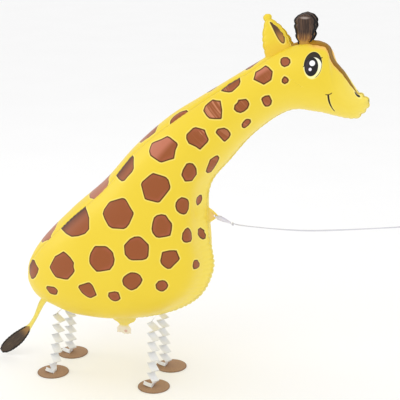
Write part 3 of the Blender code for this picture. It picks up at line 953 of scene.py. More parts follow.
def add_sealed_edge(material):
    """Thin flat strip where the two side panels are sealed together."""
    base = seam.points + seam.out * (seam.ridge * MM)[:, None]
    bulges = bulge(seam.along, seam.marks, seam.heights)
    wave = 0.5 * np.sin(seam.along / 5.3) + 0.35 * np.sin(seam.along / 2.1)
    inner = base - seam.out * ((seam.pinch + EDGE_INNER) * MM)[:, None]
    middle = base - seam.out * ((seam.pinch * EDGE_MIDDLE) * MM)[:, None]
    middle[:, 1] += wave * 0.5 * MM
    scallops = SCALLOP * bulges * seam.height / SCALLOP_PUCKER
    rim = base + seam.out * ((EDGE_PROUD + scallops) * MM)[:, None]
    rim[:, 1] += wave * MM
    thick = ACROSS * EDGE_HALF_THICKNESS
    right = [line - thick for line in (inner, middle, rim)]
    left = [line + thick for line in (rim, middle, inner)]
    made = tube("sealed_edge", np.stack(right + left, 1), material)
    outward(made, weld=True)
    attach(made, "root")


# ---- Printed foil ----
# In the prints below, at is the distance along the envelope in millimetres and turn the
# angle from its back in degrees. Gaps, spots and places on a face plane are millimetres.

FOIL_GLOSS = {
    "Metallic": 0.06,
    "Specular_IOR_Level": 0.3,
    "Coat_Weight": 0.12,
    "Coat_Roughness": 0.2,
}
# Turn of the painted reflection streaks in the spots, in radians
STREAK_ANGLE = -0.72
# Colours of the brown crown at shares of the way along the envelope
CROWN_STOPS = (
    (0.795, (240, 212, 70)), (0.815, (206, 170, 74)), (0.845, (186, 140, 20)),
    (0.872, (184, 134, 18)), (0.9, (160, 114, 10)), (0.925, (140, 100, 4)),
    (0.955, (146, 106, 4)), (0.977, (142, 114, 16)), (0.987, (146, 122, 30)),
    (0.994, (222, 196, 70)),
)


def crown_print(m, base, at, on_strip, strip_gap):
    """The brown crown on the head's part of the back strip, with a glow beside it."""
    crown = m.add("ShaderNodeValToRGB", {"Fac": at / REACH})
    elements = crown.color_ramp.elements
    while len(elements) < len(CROWN_STOPS):
        elements.new(0.5)
    for element, (where, colour) in zip(elements, CROWN_STOPS):
        element.position = where
        element.color = srgb(*colour)
    crown_on = on_strip * m.rise(at, 762, 800)
    base = m.mix(crown_on, base, crown.outputs["Color"])
    rust = crown_on * m.rise(strip_gap, 5, 0.5)
    base = m.mix(rust * 0.7, base, (156, 98, 4))
    glow = m.rise(strip_gap, 15, 2) * (1.0 - on_strip) * m.window(at, 815, 850, 880, 915)
    base = m.mix(glow * 0.75, base, (246, 182, 98))
    line = m.rise(strip_gap, 1.6, 0.3) * m.rise(at, 815, 795)
    return m.mix(line * 0.35, base, (196, 160, 48)), crown_on


def spots_and_painted_light(m, base, place, at, turn, on_strip, strip_gap):
    """Brown spots with a pale halo and a dark rim, and painted reflections, sheen and highlight.
    """
    spot = m.number("spot")
    on_panel = 1.0 - on_strip
    base = m.mix(m.rise(spot, 3.2, 2.0) * 0.5, base, (252, 232, 124))
    patch = m.rise(spot, -11, -3) * m.rise(m.noise(26, 2), 0.42, 0.62)
    inside = m.mix(patch, (152, 80, 34), (164, 86, 52))

    # Painted reflection: light pink streaks across the spots, as from fine wrinkles catching the
    # light, full on a stretch of the neck and patchy from there towards the head
    turned = m.add(
        "ShaderNodeVectorRotate", {"Vector": place, "Angle": STREAK_ANGLE}, rotation_type="Y_AXIS"
    ).outputs[0]
    streak = m.noise(330, 2, where=turned, stretch=(0.04, 0.04, 1))
    whole = m.window(at, 572, 584, 636, 650) * m.rise(turn, 88, 80)
    often = m.rise(at, 530, 640) * m.rise(m.noise(11, 1), 0.40, 0.62)
    painted_streaks = m.math("MAXIMUM", whole, often * 0.4)
    inside = m.mix(m.rise(streak, 0.46, 0.66) * painted_streaks * 0.6, inside, (224, 152, 112))

    sheen = m.rise(turn, 60, 50) * m.window(at, 425, 445, 768, 776) * on_panel
    sheen = sheen * (m.rise(at, 560, 530) + m.rise(at, 690, 705))
    inside = m.mix(sheen * 0.6, inside, (214, 132, 106))

    rim = m.mix(m.rise(spot, -3.2, -2.2), (152, 80, 36), (88, 44, 0))
    brown = m.mix(m.rise(spot, -3.4, -2.2), inside, rim)
    # Painted dark reflection: the panel spots darken towards the back strip's seam, over a wide
    # band on the rear part and a narrow band all along
    rear = m.rise(at, 480, 400)
    brown = m.mix(m.rise(strip_gap, 30, 1) * on_panel * rear * 0.75, brown, (70, 26, 8))
    brown = m.mix(m.rise(strip_gap, 11, 2) * on_panel * 0.8, brown, (42, 14, 0))
    # Painted highlight: the spots on the rear part of the back strip are lighter and pinker
    brown = m.mix(on_strip * rear * 0.45, brown, (206, 142, 120))
    return m.mix(m.rise(spot, 0.5, -0.5), base, brown)


# Centre, half sizes and turn of each eyelash, in millimetres and radians
LASHES = (
    ((17.2, 15.0), (3.4, 1.0), 0.55),
    ((12.0, 20.3), (2.4, 0.8), 1.5),
    ((-12.6, -2.6), (3.2, 1.0), 0.75),
)


def eye_print(m, base):
    u, v, _ = m.parts("eye")
    opening = m.ellipse(u, v, (3.3, 0.5), (17.1, 25.8))
    white = m.ellipse(u, v, (5.5, -6.0), (15.6, 21.0))
    base = m.mix(m.rise(opening, 1.08, 1.03), base, (250, 232, 120))
    ivory = m.mix(m.rise(v, 2, -20), (252, 252, 226), (255, 248, 170))
    base = m.mix(m.rise(opening, 1.01, 0.97), base, ivory)
    ring = m.window(opening, 0.925, 0.955, 0.985, 1.02) * m.rise(u + v * 0.25, 1, 8)
    base = m.mix(ring, base, (112, 100, 52))

    lid = m.rise(opening, 1.02, 0.98) * m.rise(white, 0.98, 1.03) * m.rise(v, -5.5, -1.0)
    within_lid = m.rise(opening, 0.96, 0.86) * m.rise(white, 1.0, 1.12)
    base = m.mix(lid, base, m.mix(within_lid, (16, 10, 4), (46, 37, 22)))

    iris = m.ellipse(u, v, (0.7, -3.0), (13.0, 18.2))
    iris_colour = m.mix(m.rise(u, -1, -8), (12, 10, 10), (52, 42, 50))
    iris_colour = m.mix(m.rise(iris, 0.80, 0.92), iris_colour, (8, 6, 5))
    base = m.mix(m.rise(iris, 1.03, 0.97), base, iris_colour)
    glint = m.ellipse(u, v, (1.9, 3.6), (5.3, 5.4))
    base = m.mix(m.rise(glint, 1.08, 0.92), base, (255, 255, 255))
    glint = m.ellipse(u, v, (-0.9, -8.4), (2.9, 3.0))
    base = m.mix(m.rise(glint, 1.15, 0.85), base, (246, 240, 250))
    for centre, size, lean in LASHES:
        lash = m.ellipse(u, v, centre, size, lean)
        base = m.mix(m.rise(lash, 1.2, 0.8), base, (24, 16, 4))
    return base


SMILE_CENTRE = (78.6, 18.5)
SMILE_RADIUS = 83.5
TICK_CENTRE = (-7.6, 32.0)
TICK_RADIUS = 15.4


def off_circle(m, u, v, centre, radius):
    """Distance in millimetres from a circle's line."""
    return abs((m.ellipse(u, v, centre, (radius, radius)) - 1.0) * radius)


def smile_print(m, base):
    u, v, _ = m.parts("mouth")
    taper = 1.0 + m.rise(v, -22, 8) * 0.85
    nearness = off_circle(m, u, v, SMILE_CENTRE, SMILE_RADIUS) - taper
    reach = m.window(v, -22.5, -20.5, 16.8, 17.8)
    base = m.mix(m.rise(nearness, 2.6, 1.0) * reach * 0.5, base, (252, 234, 124))
    base = m.mix(m.rise(nearness, 0.35, -0.35) * reach, base, (38, 14, 0))
    tick = m.rise(off_circle(m, u, v, TICK_CENTRE, TICK_RADIUS), 1.2, 0.6)
    reach = m.window(u, -11.2, -9.0, 0.8, 3.0) * m.rise(v, 24, 22)
    return m.mix(tick * reach, base, (70, 44, 4))


def nostril_print(m, base):
    u, v, _ = m.parts("nostril")
    hole = m.ellipse(u, v, (-0.4, -1.4), (7.4, 3.9), -0.34)
    base = m.mix(m.rise(hole, 1.75, 1.3), base, (252, 236, 128))
    return m.mix(m.rise(hole, 1.1, 0.9), base, (30, 12, 0))


def foil_print():
    """Printed yellow foil with spots, eye, smile, nostril, the brown crown and painted light."""
    m = Maker("printed_foil")
    place = m.place()
    strip_gap = m.number("strip_gap")
    seam_gap = m.number("seam_gap")
    at, turn, on_strip = m.parts("place")

    base = m.mix(m.noise(7, 2), (235, 205, 46), (240, 212, 58))
    # Painted light: the yellow grows paler towards the sealed edge, lightening the panels beside
    # it that lie in shade
    base = m.mix(m.rise(seam_gap, 84, 0) * 0.55, base, (250, 232, 116))
    base, crown_on = crown_print(m, base, at, on_strip, strip_gap)
    base = spots_and_painted_light(m, base, place, at, turn, on_strip, strip_gap)
    base = nostril_print(m, smile_print(m, eye_print(m, base)))

    creases = m.noise(34, 3, 0.55, where=place, stretch=(1, 1.4, 1))
    near_seams = m.rise(seam_gap, 45, 4) + m.rise(strip_gap, 18, 2) * 0.7
    height = creases * (0.25 + near_seams) + m.noise(140, 4, 0.6) * 0.12
    m.set(
        Base_Color=base,
        Roughness=crown_on * 0.4 + (0.34 + m.noise(60, 4, 0.6) * 0.16),
        Normal=m.bump(height, 0.0012, 0.55),
        **FOIL_GLOSS,
    )
    return m.material


def edge_film():
    m = Maker("sealed_edge_foil")
    grain = m.noise(300, 3)
    m.set(
        Base_Color=m.mix(grain, (228, 212, 106), (244, 232, 146)),
        Roughness=0.3 + grain * 0.2,
        Metallic=0.15,
        Coat_Weight=0.3,
        Normal=m.bump(m.noise(420, 3), 0.0004, 0.6),
    )
    return m.material


add_envelope(foil_print())
add_sealed_edge(edge_film())


# ---- Ears and horns: puffed foil lobes with a flat sealed edge ----

# Height, width and thickness, in metres
EAR_SIZES = (0.078, 0.056, 0.018)
EAR_ROOT = 0.018
EAR_BASE = (163, 715)
EAR_BACK_LEAN = math.radians(22)
EAR_INWARD_LEAN = math.radians(4)
EAR_SPACING = 0.026
EAR_WAVE = 0.0017
# Length of a lobe's creased edge and the least and greatest crease, in millimetres
EAR_CELLS = (140, 10, 16)
HORN_CELLS = (120, 14, 20)
FAR_EAR_LEAN = 0.09
# Share of the height, and width and thickness there as shares of the whole
EAR_PROFILE = (
    (0.0, 1.0, 0.7), (0.3, 0.92, 1.0), (0.52, 0.76, 0.95), (0.7, 0.52, 0.75),
    (0.82, 0.31, 0.55), (0.91, 0.29, 0.5), (0.97, 0.2, 0.36),
)
HORN_SIZES = (0.058, 0.0425, 0.016)
HORN_ROOT = 0.014
HORN_BASE = (212, 735)
HORN_SPACING = 0.022
HORN_WAVE = 0.0028
HORN_PROFILE = (
    (0.0, 0.62, 0.8), (0.16, 0.74, 0.85), (0.3, 0.9, 0.9), (0.42, 0.86, 0.95), (0.56, 1.0, 1.0),
    (0.74, 0.98, 1.0), (0.86, 0.78, 0.9), (0.94, 0.56, 0.7),
)
LOBE_RINGS = 110
LOBE_COLUMNS = 40
LOBE_EDGE_WIDTH = 0.0026
LOBE_EDGE_HALF = 0.00018
LOBE_GATHER = 0.0011
LOBE_GATHER_REACH = 0.007
LOBE_GATHER_START = 30
LOBE_HEIGHTS = (0.6, 1.3)
LOBE_DRAWN_IN = 0.0006
LOBE_ROOT_SHARE = 0.05
LOBE_POWER = 1.25
LOBE_LEAST = 0.0002
LOBE_LEAST_INNER = 0.0001
# Outline of the dark leaf printed inside an ear: forward and up the ear, in millimetres
LEAF = (
    (1.5, 63), (9, 56), (16, 47), (20, 37), (21.4, 27), (19.5, 17), (15.5, 12.5), (11, 18),
    (8, 28), (6, 40), (4, 52),
)
NO_LEAF = 9.0
LEAF_ROUNDS = 3


def lobe(name, base, up, side, sizes, profile, root, material, marks, wave):
    """A lens-shaped lobe with small gathers along its sealed edge, and its flat places."""
    height, width, thickness = sizes
    normal = unit(np.cross(side, up))
    shares = [row[0] for row in profile] + [1.0]
    rows = [row[1:] for row in profile] + [(0.0, 0.0)]
    even = np.arange(LOBE_RINGS) / LOBE_RINGS
    ats = np.concatenate([[-root / height], np.sin(0.5 * math.pi * even)])
    values = hermite(shares, rows, np.clip(ats, 0, 1))
    heights = rng.uniform(*LOBE_HEIGHTS, len(marks))
    rings, places = [], []
    for at, (wide, thick) in zip(ats, values):
        centre = base + up * (at * height)
        up_mm = at * height / MM
        gather = bulge(np.array([up_mm + LOBE_GATHER_START]), marks, heights)[0]
        uneven = (wave * gather - LOBE_DRAWN_IN) * (at > LOBE_ROOT_SHARE)
        half = max(LOBE_LEAST, wide * width / 2 + uneven)
        inner = max(LOBE_LEAST_INNER, half - LOBE_EDGE_WIDTH * min(1, wide * 2))
        deep = thick * thickness / 2
        ring = []
        for face in (1, -1):
            ring.append(centre + side * (half * face) + normal * (LOBE_EDGE_HALF * face))
            places.append((half * face / MM, up_mm, 1.0))
            for k in range(LOBE_COLUMNS + 1):
                turn = math.pi * k / LOBE_COLUMNS
                x = inner * math.cos(turn) * face
                y = max(LOBE_LEAST, deep * math.sin(turn) ** LOBE_POWER) * face
                pinch = math.exp(-((half - abs(x)) / LOBE_GATHER_REACH))
                y += face * LOBE_GATHER * gather * pinch * math.sin(turn)
                ring.append(centre + side * x + normal * y)
                places.append((x / MM, up_mm, (half - abs(x)) / MM))
            ring.append(centre - side * (half * face) + normal * (LOBE_EDGE_HALF * face))
            places.append((-half * face / MM, up_mm, 0.0))
        rings.append(ring)
    made = tube(name, rings, material)
    places = np.array(places)
    store(made, "lobe", places)
    outward(made)
    return made, places


def leaf_points():
    """The leaf's outline, rounded by cutting each corner at a quarter of its sides."""
    outline = np.array(LEAF, float)
    for _ in range(LEAF_ROUNDS):
        after = np.roll(outline, -1, axis=0)
        cut = np.stack([outline * 0.75 + after * 0.25, outline * 0.25 + after * 0.75], 1)
        outline = cut.reshape(-1, 2)
    return outline


def ear_foil():
    m = Maker("ear_foil")
    _, v, gap = m.parts("lobe")
    leaf = m.number("leaf")
    grain = m.noise(60, 3)
    base = m.mix(grain, (234, 204, 46), (242, 214, 60))
    base = m.mix(m.rise(v, 34, 6) * 0.55, base, (236, 190, 50))
    base = m.mix(m.rise(gap, 3.0, 1.2) * 0.5, base, (222, 204, 84))
    base = m.mix(m.rise(leaf, 3.6, 1.2) * 0.5, base, (252, 232, 128))
    inner = m.mix(m.rise(v, 24, 46), (176, 122, 60), (92, 62, 38))
    inner = m.mix(m.rise(leaf, -2.6, -1.0), inner, (84, 54, 22))
    m.set(
        Base_Color=m.mix(m.rise(leaf, 0.5, -0.5), base, inner),
        Roughness=0.34 + grain * 0.15,
        Normal=m.bump(m.noise(90, 3, 0.55, stretch=(1, 1, 0.4)), 0.0010, 0.5),
        **FOIL_GLOSS,
    )
    return m.material


def horn_foil():
    m = Maker("horn_foil")
    u, v, gap = m.parts("lobe")
    streak = m.noise(420, 3, 0.6, stretch=(1, 1, 0.06))
    soft = m.noise(70, 3)
    dark = m.mix(m.rise(streak, 0.42, 0.66), (56, 38, 28), (98, 72, 54))
    gold = m.mix(m.rise(streak, 0.40, 0.66), (118, 72, 40), (196, 148, 70))
    base = m.mix(m.rise(v + soft * 8, 29, 10), dark, gold)
    base = m.mix(m.rise(v + soft * 6, 12, 4) * 0.9, base, (190, 142, 48))
    base = m.mix(m.rise(gap, 4.4, 3.2), base, (18, 11, 8))
    glint = m.ellipse(u, v, (0.5, 48.5), (9.5, 2.6))
    m.set(
        Base_Color=m.mix(m.rise(glint, 1.3, 0.2) * 0.55, base, (206, 190, 180)),
        Roughness=0.3 + soft * 0.18,
        Metallic=0.08,
        Specular_IOR_Level=0.3,
        Coat_Weight=0.15,
        Coat_Roughness=0.16,
        Normal=m.bump(streak + soft * 1.5, 0.0008, 0.5),
    )
    return m.material


def add_ear(word, sign, material):
    base = drawn(*EAR_BASE, y=sign * EAR_SPACING / 2)
    up = unit(np.array((-math.sin(EAR_BACK_LEAN), -sign * math.sin(EAR_INWARD_LEAN), 1.0)))
    if sign > 0:
        up = unit(up - FORWARD * FAR_EAR_LEAN)
    side = unit(FORWARD - up * (FORWARD @ up))
    marks = cells(*EAR_CELLS)
    ear, places = lobe(
        "foil_ear_" + word, base, up, side, EAR_SIZES, EAR_PROFILE, EAR_ROOT, material, marks,
        EAR_WAVE,
    )
    leaf = signed_distance(places[:, :2], leaf_points())
    away = np.array([vertex.co.y - base[1] for vertex in ear.data.vertices])
    leaf[away * sign <= 0] = NO_LEAF
    store(ear, "leaf", leaf)
    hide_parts("ear_" + word)
    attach(ear, "root")


def add_horn(word, sign, material):
    base = drawn(*HORN_BASE, y=sign * HORN_SPACING / 2)
    marks = cells(*HORN_CELLS)
    horn, _ = lobe(
        "foil_horn_" + word, base, UP, FORWARD, HORN_SIZES, HORN_PROFILE, HORN_ROOT, material,
        marks, HORN_WAVE,
    )
    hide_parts("horn_" + word)
    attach(horn, "root")


def add_lobes():
    ears, horns = ear_foil(), horn_foil()
    for word, sign in (("right", -1), ("left", 1)):
        add_ear(word, sign, ears)
        add_horn(word, sign, horns)


add_lobes()


# ---- Tail: a flat foil strap with a printed tuft ----

# Drawn x and z, and width, in millimetres
TAIL_LINE = (
    (-357, 150, 15), (-367, 137, 14), (-376, 120, 12), (-383, 105, 10), (-391, 90, 9.5),
    (-400, 76, 11), (-412, 62, 21), (-429, 45, 29), (-447, 29, 29), (-461, 17, 22),
    (-469, 11, 10),
)
TAIL_SWING = 0.014
TAIL_RINGS = 150
TAIL_COLUMNS = 14
# Where the tuft starts, as a share of the length; the rest in millimetres
TUFT_FROM = 0.5
TUFT_FRAY = 0.5
TUFT_PUFF = 0.55
STRAP_FRAY = 0.12
STRAP_PUFF = TUFT_PUFF * 0.35
TAIL_LEAST_HALF = 1.2
TAIL_CURL = 0.7
TAIL_HALF_FILM = 0.16


def tail_foil():
    m = Maker("tail_foil")
    across, share, gap = m.parts("strap")
    hair = m.noise(260, 3, 0.6)
    flow = m.add("ShaderNodeCombineXYZ", {"X": across * 0.9, "Y": share * 2.5}).outputs[0]
    lines = m.noise(3.0, where=flow)
    yellow = m.mix(hair, (238, 216, 84), (248, 230, 120))
    yellow = m.mix(m.rise(gap, 2.2, 1.0), yellow, (226, 214, 140))
    tuft = m.rise(share + abs(across) * -0.006, 0.47, 0.49)
    brown = m.mix(m.rise(lines, 0.45, 0.62), (62, 50, 42), (96, 78, 58))
    brown = m.mix(m.rise(share, 0.66, 0.50), brown, (168, 126, 70))
    brown = m.mix(m.rise(gap, 4.0, 2.8), brown, (20, 14, 10))
    m.set(
        Base_Color=m.mix(tuft, yellow, brown),
        Roughness=0.4,
        Metallic=0.06,
        Specular_IOR_Level=0.3,
        Coat_Weight=0.1,
        Normal=m.bump(lines + hair, 0.0006, 0.5),
    )
    return m.material


def add_tail():
    rows = np.array(TAIL_LINE, float)
    knots = lengths(rows[:, :2])
    ats = np.linspace(0, knots[-1], TAIL_RINGS)
    values = hermite(knots, rows, ats)
    shares = ats / knots[-1]
    swing = -TAIL_SWING * shares**2
    centres = np.stack([values[:, 0] * MM + SHIFT, swing, values[:, 1] * MM], 1)
    rings, kept = [], []
    for i, (centre, share) in enumerate(zip(centres, shares)):
        ahead = unit(centres[min(i + 1, TAIL_RINGS - 1)] - centres[max(i - 1, 0)])
        across = unit(np.cross(ahead, ACROSS))
        face = unit(np.cross(ahead, across))
        ragged = 0.5 * math.sin(i * 0.9) + 0.4 * math.sin(i * 2.3 + 1)
        on_tuft = share > TUFT_FROM
        fray, puff = (TUFT_FRAY, TUFT_PUFF) if on_tuft else (STRAP_FRAY, STRAP_PUFF)
        half = max(TAIL_LEAST_HALF, values[i, 2] / 2 + fray * ragged)
        curl = TAIL_CURL * math.sin(share * 14)
        ring = []
        for side, at in around_strip(TAIL_COLUMNS):
            bend = curl * at * at + 0.25 * math.sin(at * 6 + i * 0.35)
            y = (TAIL_HALF_FILM + puff * (1 - at * at)) * side + bend
            ring.append(centre + across * (at * half * MM) + face * (y * MM))
            kept.append((at * half, share, half - abs(at * half)))
        rings.append(ring)
    tail = tube("foil_tail", rings, tail_foil())
    store(tail, "strap", np.array(kept))
    outward(tail)
    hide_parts("tail")
    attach(tail, "root")


add_tail()


# ---- Filling valve and chest tab: flat film ----

MARK_CENTRE = (0.66, 0.17)
MARK_SIZE = (0.13, 0.085)
VALVE_THICKNESS = 0.0004
VALVE_FOOT = 0.0015
VALVE_GRID = (34, 40)
# Film width at shares of its height, as a share of the part's own width
VALVE_WIDTHS = (
    (0.0, 1.08), (0.2, 1.02), (0.38, 0.92), (0.48, 0.72), (0.56, 0.72), (0.66, 0.98),
    (0.76, 1.5), (0.86, 1.75), (1.0, 1.8),
)
TAB_OUTLINE = (
    (4, 400), (14, 394), (27, 385), (37.5, 376), (37.5, 371), (28, 363), (15, 353), (4, 346),
)
TAB_HOLE_RADIUS = 2.5
TAB_STEPS = 9
TAB_RIM_STEPS = 64
TAB_BACK_STEPS = 26
TAB_POWER = 0.8
# Swell and half thickness of the tab, in millimetres
TAB_SWELL = 0.35
TAB_HALF_FILM = 0.16


def film_material(name, low, high, change, alpha, roughness, mark=False):
    """Wrinkled film that changes colour up its height, with a faint oval mark if asked."""
    m = Maker(name)
    wrinkle = m.noise(150, 4, 0.6)
    across, height, _ = m.parts("film")
    base = m.mix(m.rise(height, *change), low, high)
    if mark:
        oval = m.ellipse(across, height, MARK_CENTRE, MARK_SIZE)
        base = m.mix(m.rise(oval, 1.2, 0.6) * 0.6, base, (206, 118, 110))
    m.set(
        Base_Color=m.mix(wrinkle * 0.25, base, (250, 244, 206)),
        Roughness=roughness,
        Alpha=alpha,
        Specular_IOR_Level=0.35,
        Coat_Weight=0.15,
        Normal=m.bump(wrinkle, 0.0012, 0.7),
    )
    return m.material


def film_sheet(name, columns, rows, place, material, thickness):
    """A thin two-sided sheet: place(across, up) gives its points, both from 0 to 1."""
    grid = [(j / columns, i / rows, 0) for i in range(rows + 1) for j in range(columns + 1)]
    front = [place(across, up) for across, up, _ in grid]
    shift = ACROSS * (thickness / 2)
    points = [p - shift for p in front] + [p + shift for p in front]
    wide = columns + 1
    count = len(front)
    faces = both_sides(quads(rows + 1, wide), count)
    border = list(range(wide))
    border += [i * wide + columns for i in range(1, rows + 1)]
    border += [rows * wide + j for j in range(columns - 1, -1, -1)]
    border += [i * wide for i in range(rows - 1, 0, -1)]
    for a, b in zip(border, border[1:] + border[:1]):
        faces.append((b, a, a + count, b + count))
    made = mesh_object(name, points, faces, material, sharp=FILM_BEND)
    store(made, "film", np.array(grid + grid))
    return made


def add_valve():
    low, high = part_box("filling_valve")
    width = high[0] - low[0]
    tall = high[2] - low[2]
    middle = (low[0] + high[0]) / 2
    table = np.array(VALVE_WIDTHS, float)

    def place(across, up):
        ragged = 0.0011 * math.sin(across * 9) + 0.0006 * math.sin(across * 21 + 1)
        wide = width * float(hermite(table[:, 0], table[:, 1:], up)[0, 0])
        x = middle + wide * (across - 0.5) + 0.0006 * math.sin(up * 17 + across * 3)
        y = 0.0014 * math.sin(across * 6 + up * 5) * (1 - up) + 0.0004 * math.sin(across * 15)
        z = low[2] + VALVE_FOOT + (tall - VALVE_FOOT) * up + (1 - up) ** 3 * ragged
        return np.array((x, y, z))

    pale, yellow = (246, 236, 218), (248, 226, 92)
    film = film_material("valve_film", pale, yellow, (0.34, 0.56), 0.9, 0.26, mark=True)
    valve = film_sheet("film_valve", *VALVE_GRID, place, film, VALVE_THICKNESS)
    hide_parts("filling_valve")
    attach(valve, "root")


def add_tab():
    """Chest tab with its ribbon hole, with a slightly wavy rim."""
    outline = np.array(TAB_OUTLINE, float)
    knots = lengths(outline)
    rim = hermite(knots, outline, np.linspace(0, knots[-1], TAB_RIM_STEPS))
    rim = np.concatenate([rim, np.linspace(rim[-1], rim[0], TAB_BACK_STEPS)[1:-1]])
    hole = np.array(TAB_HOLE, float)
    angles = np.arctan2(rim[:, 1] - hole[1], rim[:, 0] - hole[0])
    inner = hole + TAB_HOLE_RADIUS * np.stack([np.cos(angles), np.sin(angles)], 1)
    count = len(rim)
    points, kept = [], []
    for side in (-1, 1):
        for k in range(TAB_STEPS + 1):
            share = (k / TAB_STEPS) ** TAB_POWER
            lift = TAB_SWELL * math.sin(math.pi * share) + TAB_HALF_FILM
            for i, (x, z) in enumerate(inner + (rim - inner) * share):
                wave = 0.4 * math.sin(i * 0.42) * share + 0.3 * math.sin(x * 0.5)
                points.append(drawn(x, z, (side * lift + wave) * MM))
                kept.append((share, share, 0))
    layer = (TAB_STEPS + 1) * count
    faces = both_sides(quads(TAB_STEPS + 1, count, around=True), layer)
    outer = TAB_STEPS * count
    for i in range(count):
        j = (i + 1) % count
        faces.append((j, i, i + layer, j + layer))
        faces.append((outer + i, outer + j, outer + j + layer, outer + i + layer))
    amber, yellow = (236, 198, 110), (240, 214, 74)
    film = film_material("tab_foil", amber, yellow, (0.1, 0.5), 1.0, 0.34)
    tab = mesh_object("foil_chest_tab", points, faces, film, sharp=FILM_BEND)
    store(tab, "film", np.array(kept))
    outward(tab)
    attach(tab, "root")


add_valve()
add_tab()


# ---- Legs: folded strips of thin white paper; feet: slit card discs ----

FOOT_DIAMETER = 0.068
FOOT_THICKNESS = 0.0016
FOOT_TRACK = 0.108
FOOT_SIDES = 120
FOOT_SOFTNESS = 0.0003
FEET_TO_THE_RIGHT = 0.005
NECK_RISE = 0.004
LEG_TOP_TRACK = 0.064
LEG_TOP_GAP = 0.00025
STRIP_WIDTH = 0.018
STRIP_PANEL = 0.026
STRIP_FOLD_DROP = 0.0105
PAPER_HALF_THICKNESS = 0.00013
PANEL_RINGS = 8
LEG_COLUMNS = 6
SLIT_WIDTH = 0.0022
SLIT_LENGTH = 0.026
LOOSE_END_LENGTH = 0.019
LOOSE_END_RISE = 0.0055
LOOSE_END_GAP = 0.0002
LOOSE_END_RINGS = 15
LOOSE_END_COLUMNS = 8
LOOSE_END_TURNS = (6, 16)
LOOSE_END_SPREAD = (0.8, 1.2)
LOOSE_END_POWER = 1.7
LOOSE_END_CURL = 0.0008
LOOSE_END_TILT = 0.0004
# Greatest lean, least and greatest bow and the cup of a folded panel, in millimetres
PANEL_LEAN = 0.6
PANEL_BOW = (0.4, 1.5)
PANEL_CUP = 0.25
SLIT_STRETCH = (0.25, 1.0)
# Rings of a disc's face, as shares of the way from its slit to its rim
CARD_SHARES = (0.0, 0.12, 0.3, 0.5, 0.7, 0.88)
# Drawn x of each leg's top and foot in millimetres, and of its slit on the disc in metres
LEGS = {
    "rear_right": (-310, -319, 0.004),
    "rear_left": (-314, -321, -0.005),
    "front_right": (-92, -84, -0.002),
    "front_left": (-97, -83, -0.012),
}
# How far each strip turns about its own upright line, in degrees, from its top to its foot
TWISTS = {
    "rear_right": (8, 26, 44, 40),
    "rear_left": (20, 40, 30, 42),
    "front_right": (14, 34, 46, 38),
    "front_left": (24, 36, 42, 34),
}
TWIST_SHARES = (0, 0.3, 0.65, 1)


def paper_material():
    m = Maker("white_paper")
    fibre = m.noise(700, 4, 0.6)
    cloud = m.noise(90, 3)
    _, fold, _ = m.parts("strip")
    # Painted shade: the paper turns grey at each fold of the strip
    crease = m.rise(abs(fold - 0.5), 0.40, 0.5)
    base = m.mix(cloud, (232, 233, 233), (243, 243, 242))
    m.set(
        Base_Color=m.mix(crease * 0.5, base, (186, 186, 186)),
        Roughness=0.62 + fibre * 0.2,
        Subsurface_Weight=0.25,
        Subsurface_Radius=(0.004, 0.004, 0.004),
        Normal=m.bump(fibre + cloud, 0.0003, 0.6),
    )
    return m.material


def card_material():
    m = Maker("brown_card")
    fibre = m.noise(500, 4, 0.65, stretch=(1, 0.25, 1))
    cloud = m.noise(60, 3)
    speck = m.rise(m.noise(1400, 2), 0.66, 0.74)
    base = m.mix(fibre, (150, 114, 84), (190, 156, 122))
    base = m.mix(cloud * 0.4, base, (140, 104, 76))
    base = m.mix(speck * 0.4, base, (112, 82, 58))
    rim, _, _ = m.parts("disc")
    m.set(
        Base_Color=m.mix(m.rise(rim, 0.93, 0.99) * 0.6, base, (112, 82, 60)),
        Roughness=0.7 + fibre * 0.2,
        Normal=m.bump(fibre + cloud, 0.0004, 0.6),
    )
    return m.material


def foot_centre(name):
    """Centre of a disc on the floor, and how far its slit is from it."""
    sign = 1 if name.endswith("left") else -1
    _, foot_at, slit_offset = LEGS[name]
    return foot_at * MM + SHIFT, sign * FOOT_TRACK / 2 - FEET_TO_THE_RIGHT, slit_offset


def leg_line(name, top_z):
    """The fold points of one leg, as the part's source makes them, and the turn at each."""
    sign = 1 if name.endswith("left") else -1
    half = math.sqrt(STRIP_PANEL**2 - STRIP_FOLD_DROP**2) / 2
    start = drawn(LEGS[name][0], 0, sign * LEG_TOP_TRACK / 2) + UP * top_z
    foot_x, foot_y, slit_offset = foot_centre(name)
    slit_x = foot_x + slit_offset
    neck = np.array((slit_x, foot_y, FOOT_THICKNESS + NECK_RISE))
    folds = max(4, round((start[2] - neck[2]) / STRIP_FOLD_DROP))
    points, turns = [start], [0.0]
    for i in range(1, folds):
        middle = start + (neck - start) * (i / folds)
        turn = math.radians(np.interp(i / folds, TWIST_SHARES, TWISTS[name]))
        away = np.array((math.cos(turn), -math.sin(turn), 0))
        points.append(middle + away * ((-1) ** i * half))
        turns.append(turn)
    return [*points, neck, np.array((slit_x, foot_y, GAP))], [*turns, 0.0, 0.0]


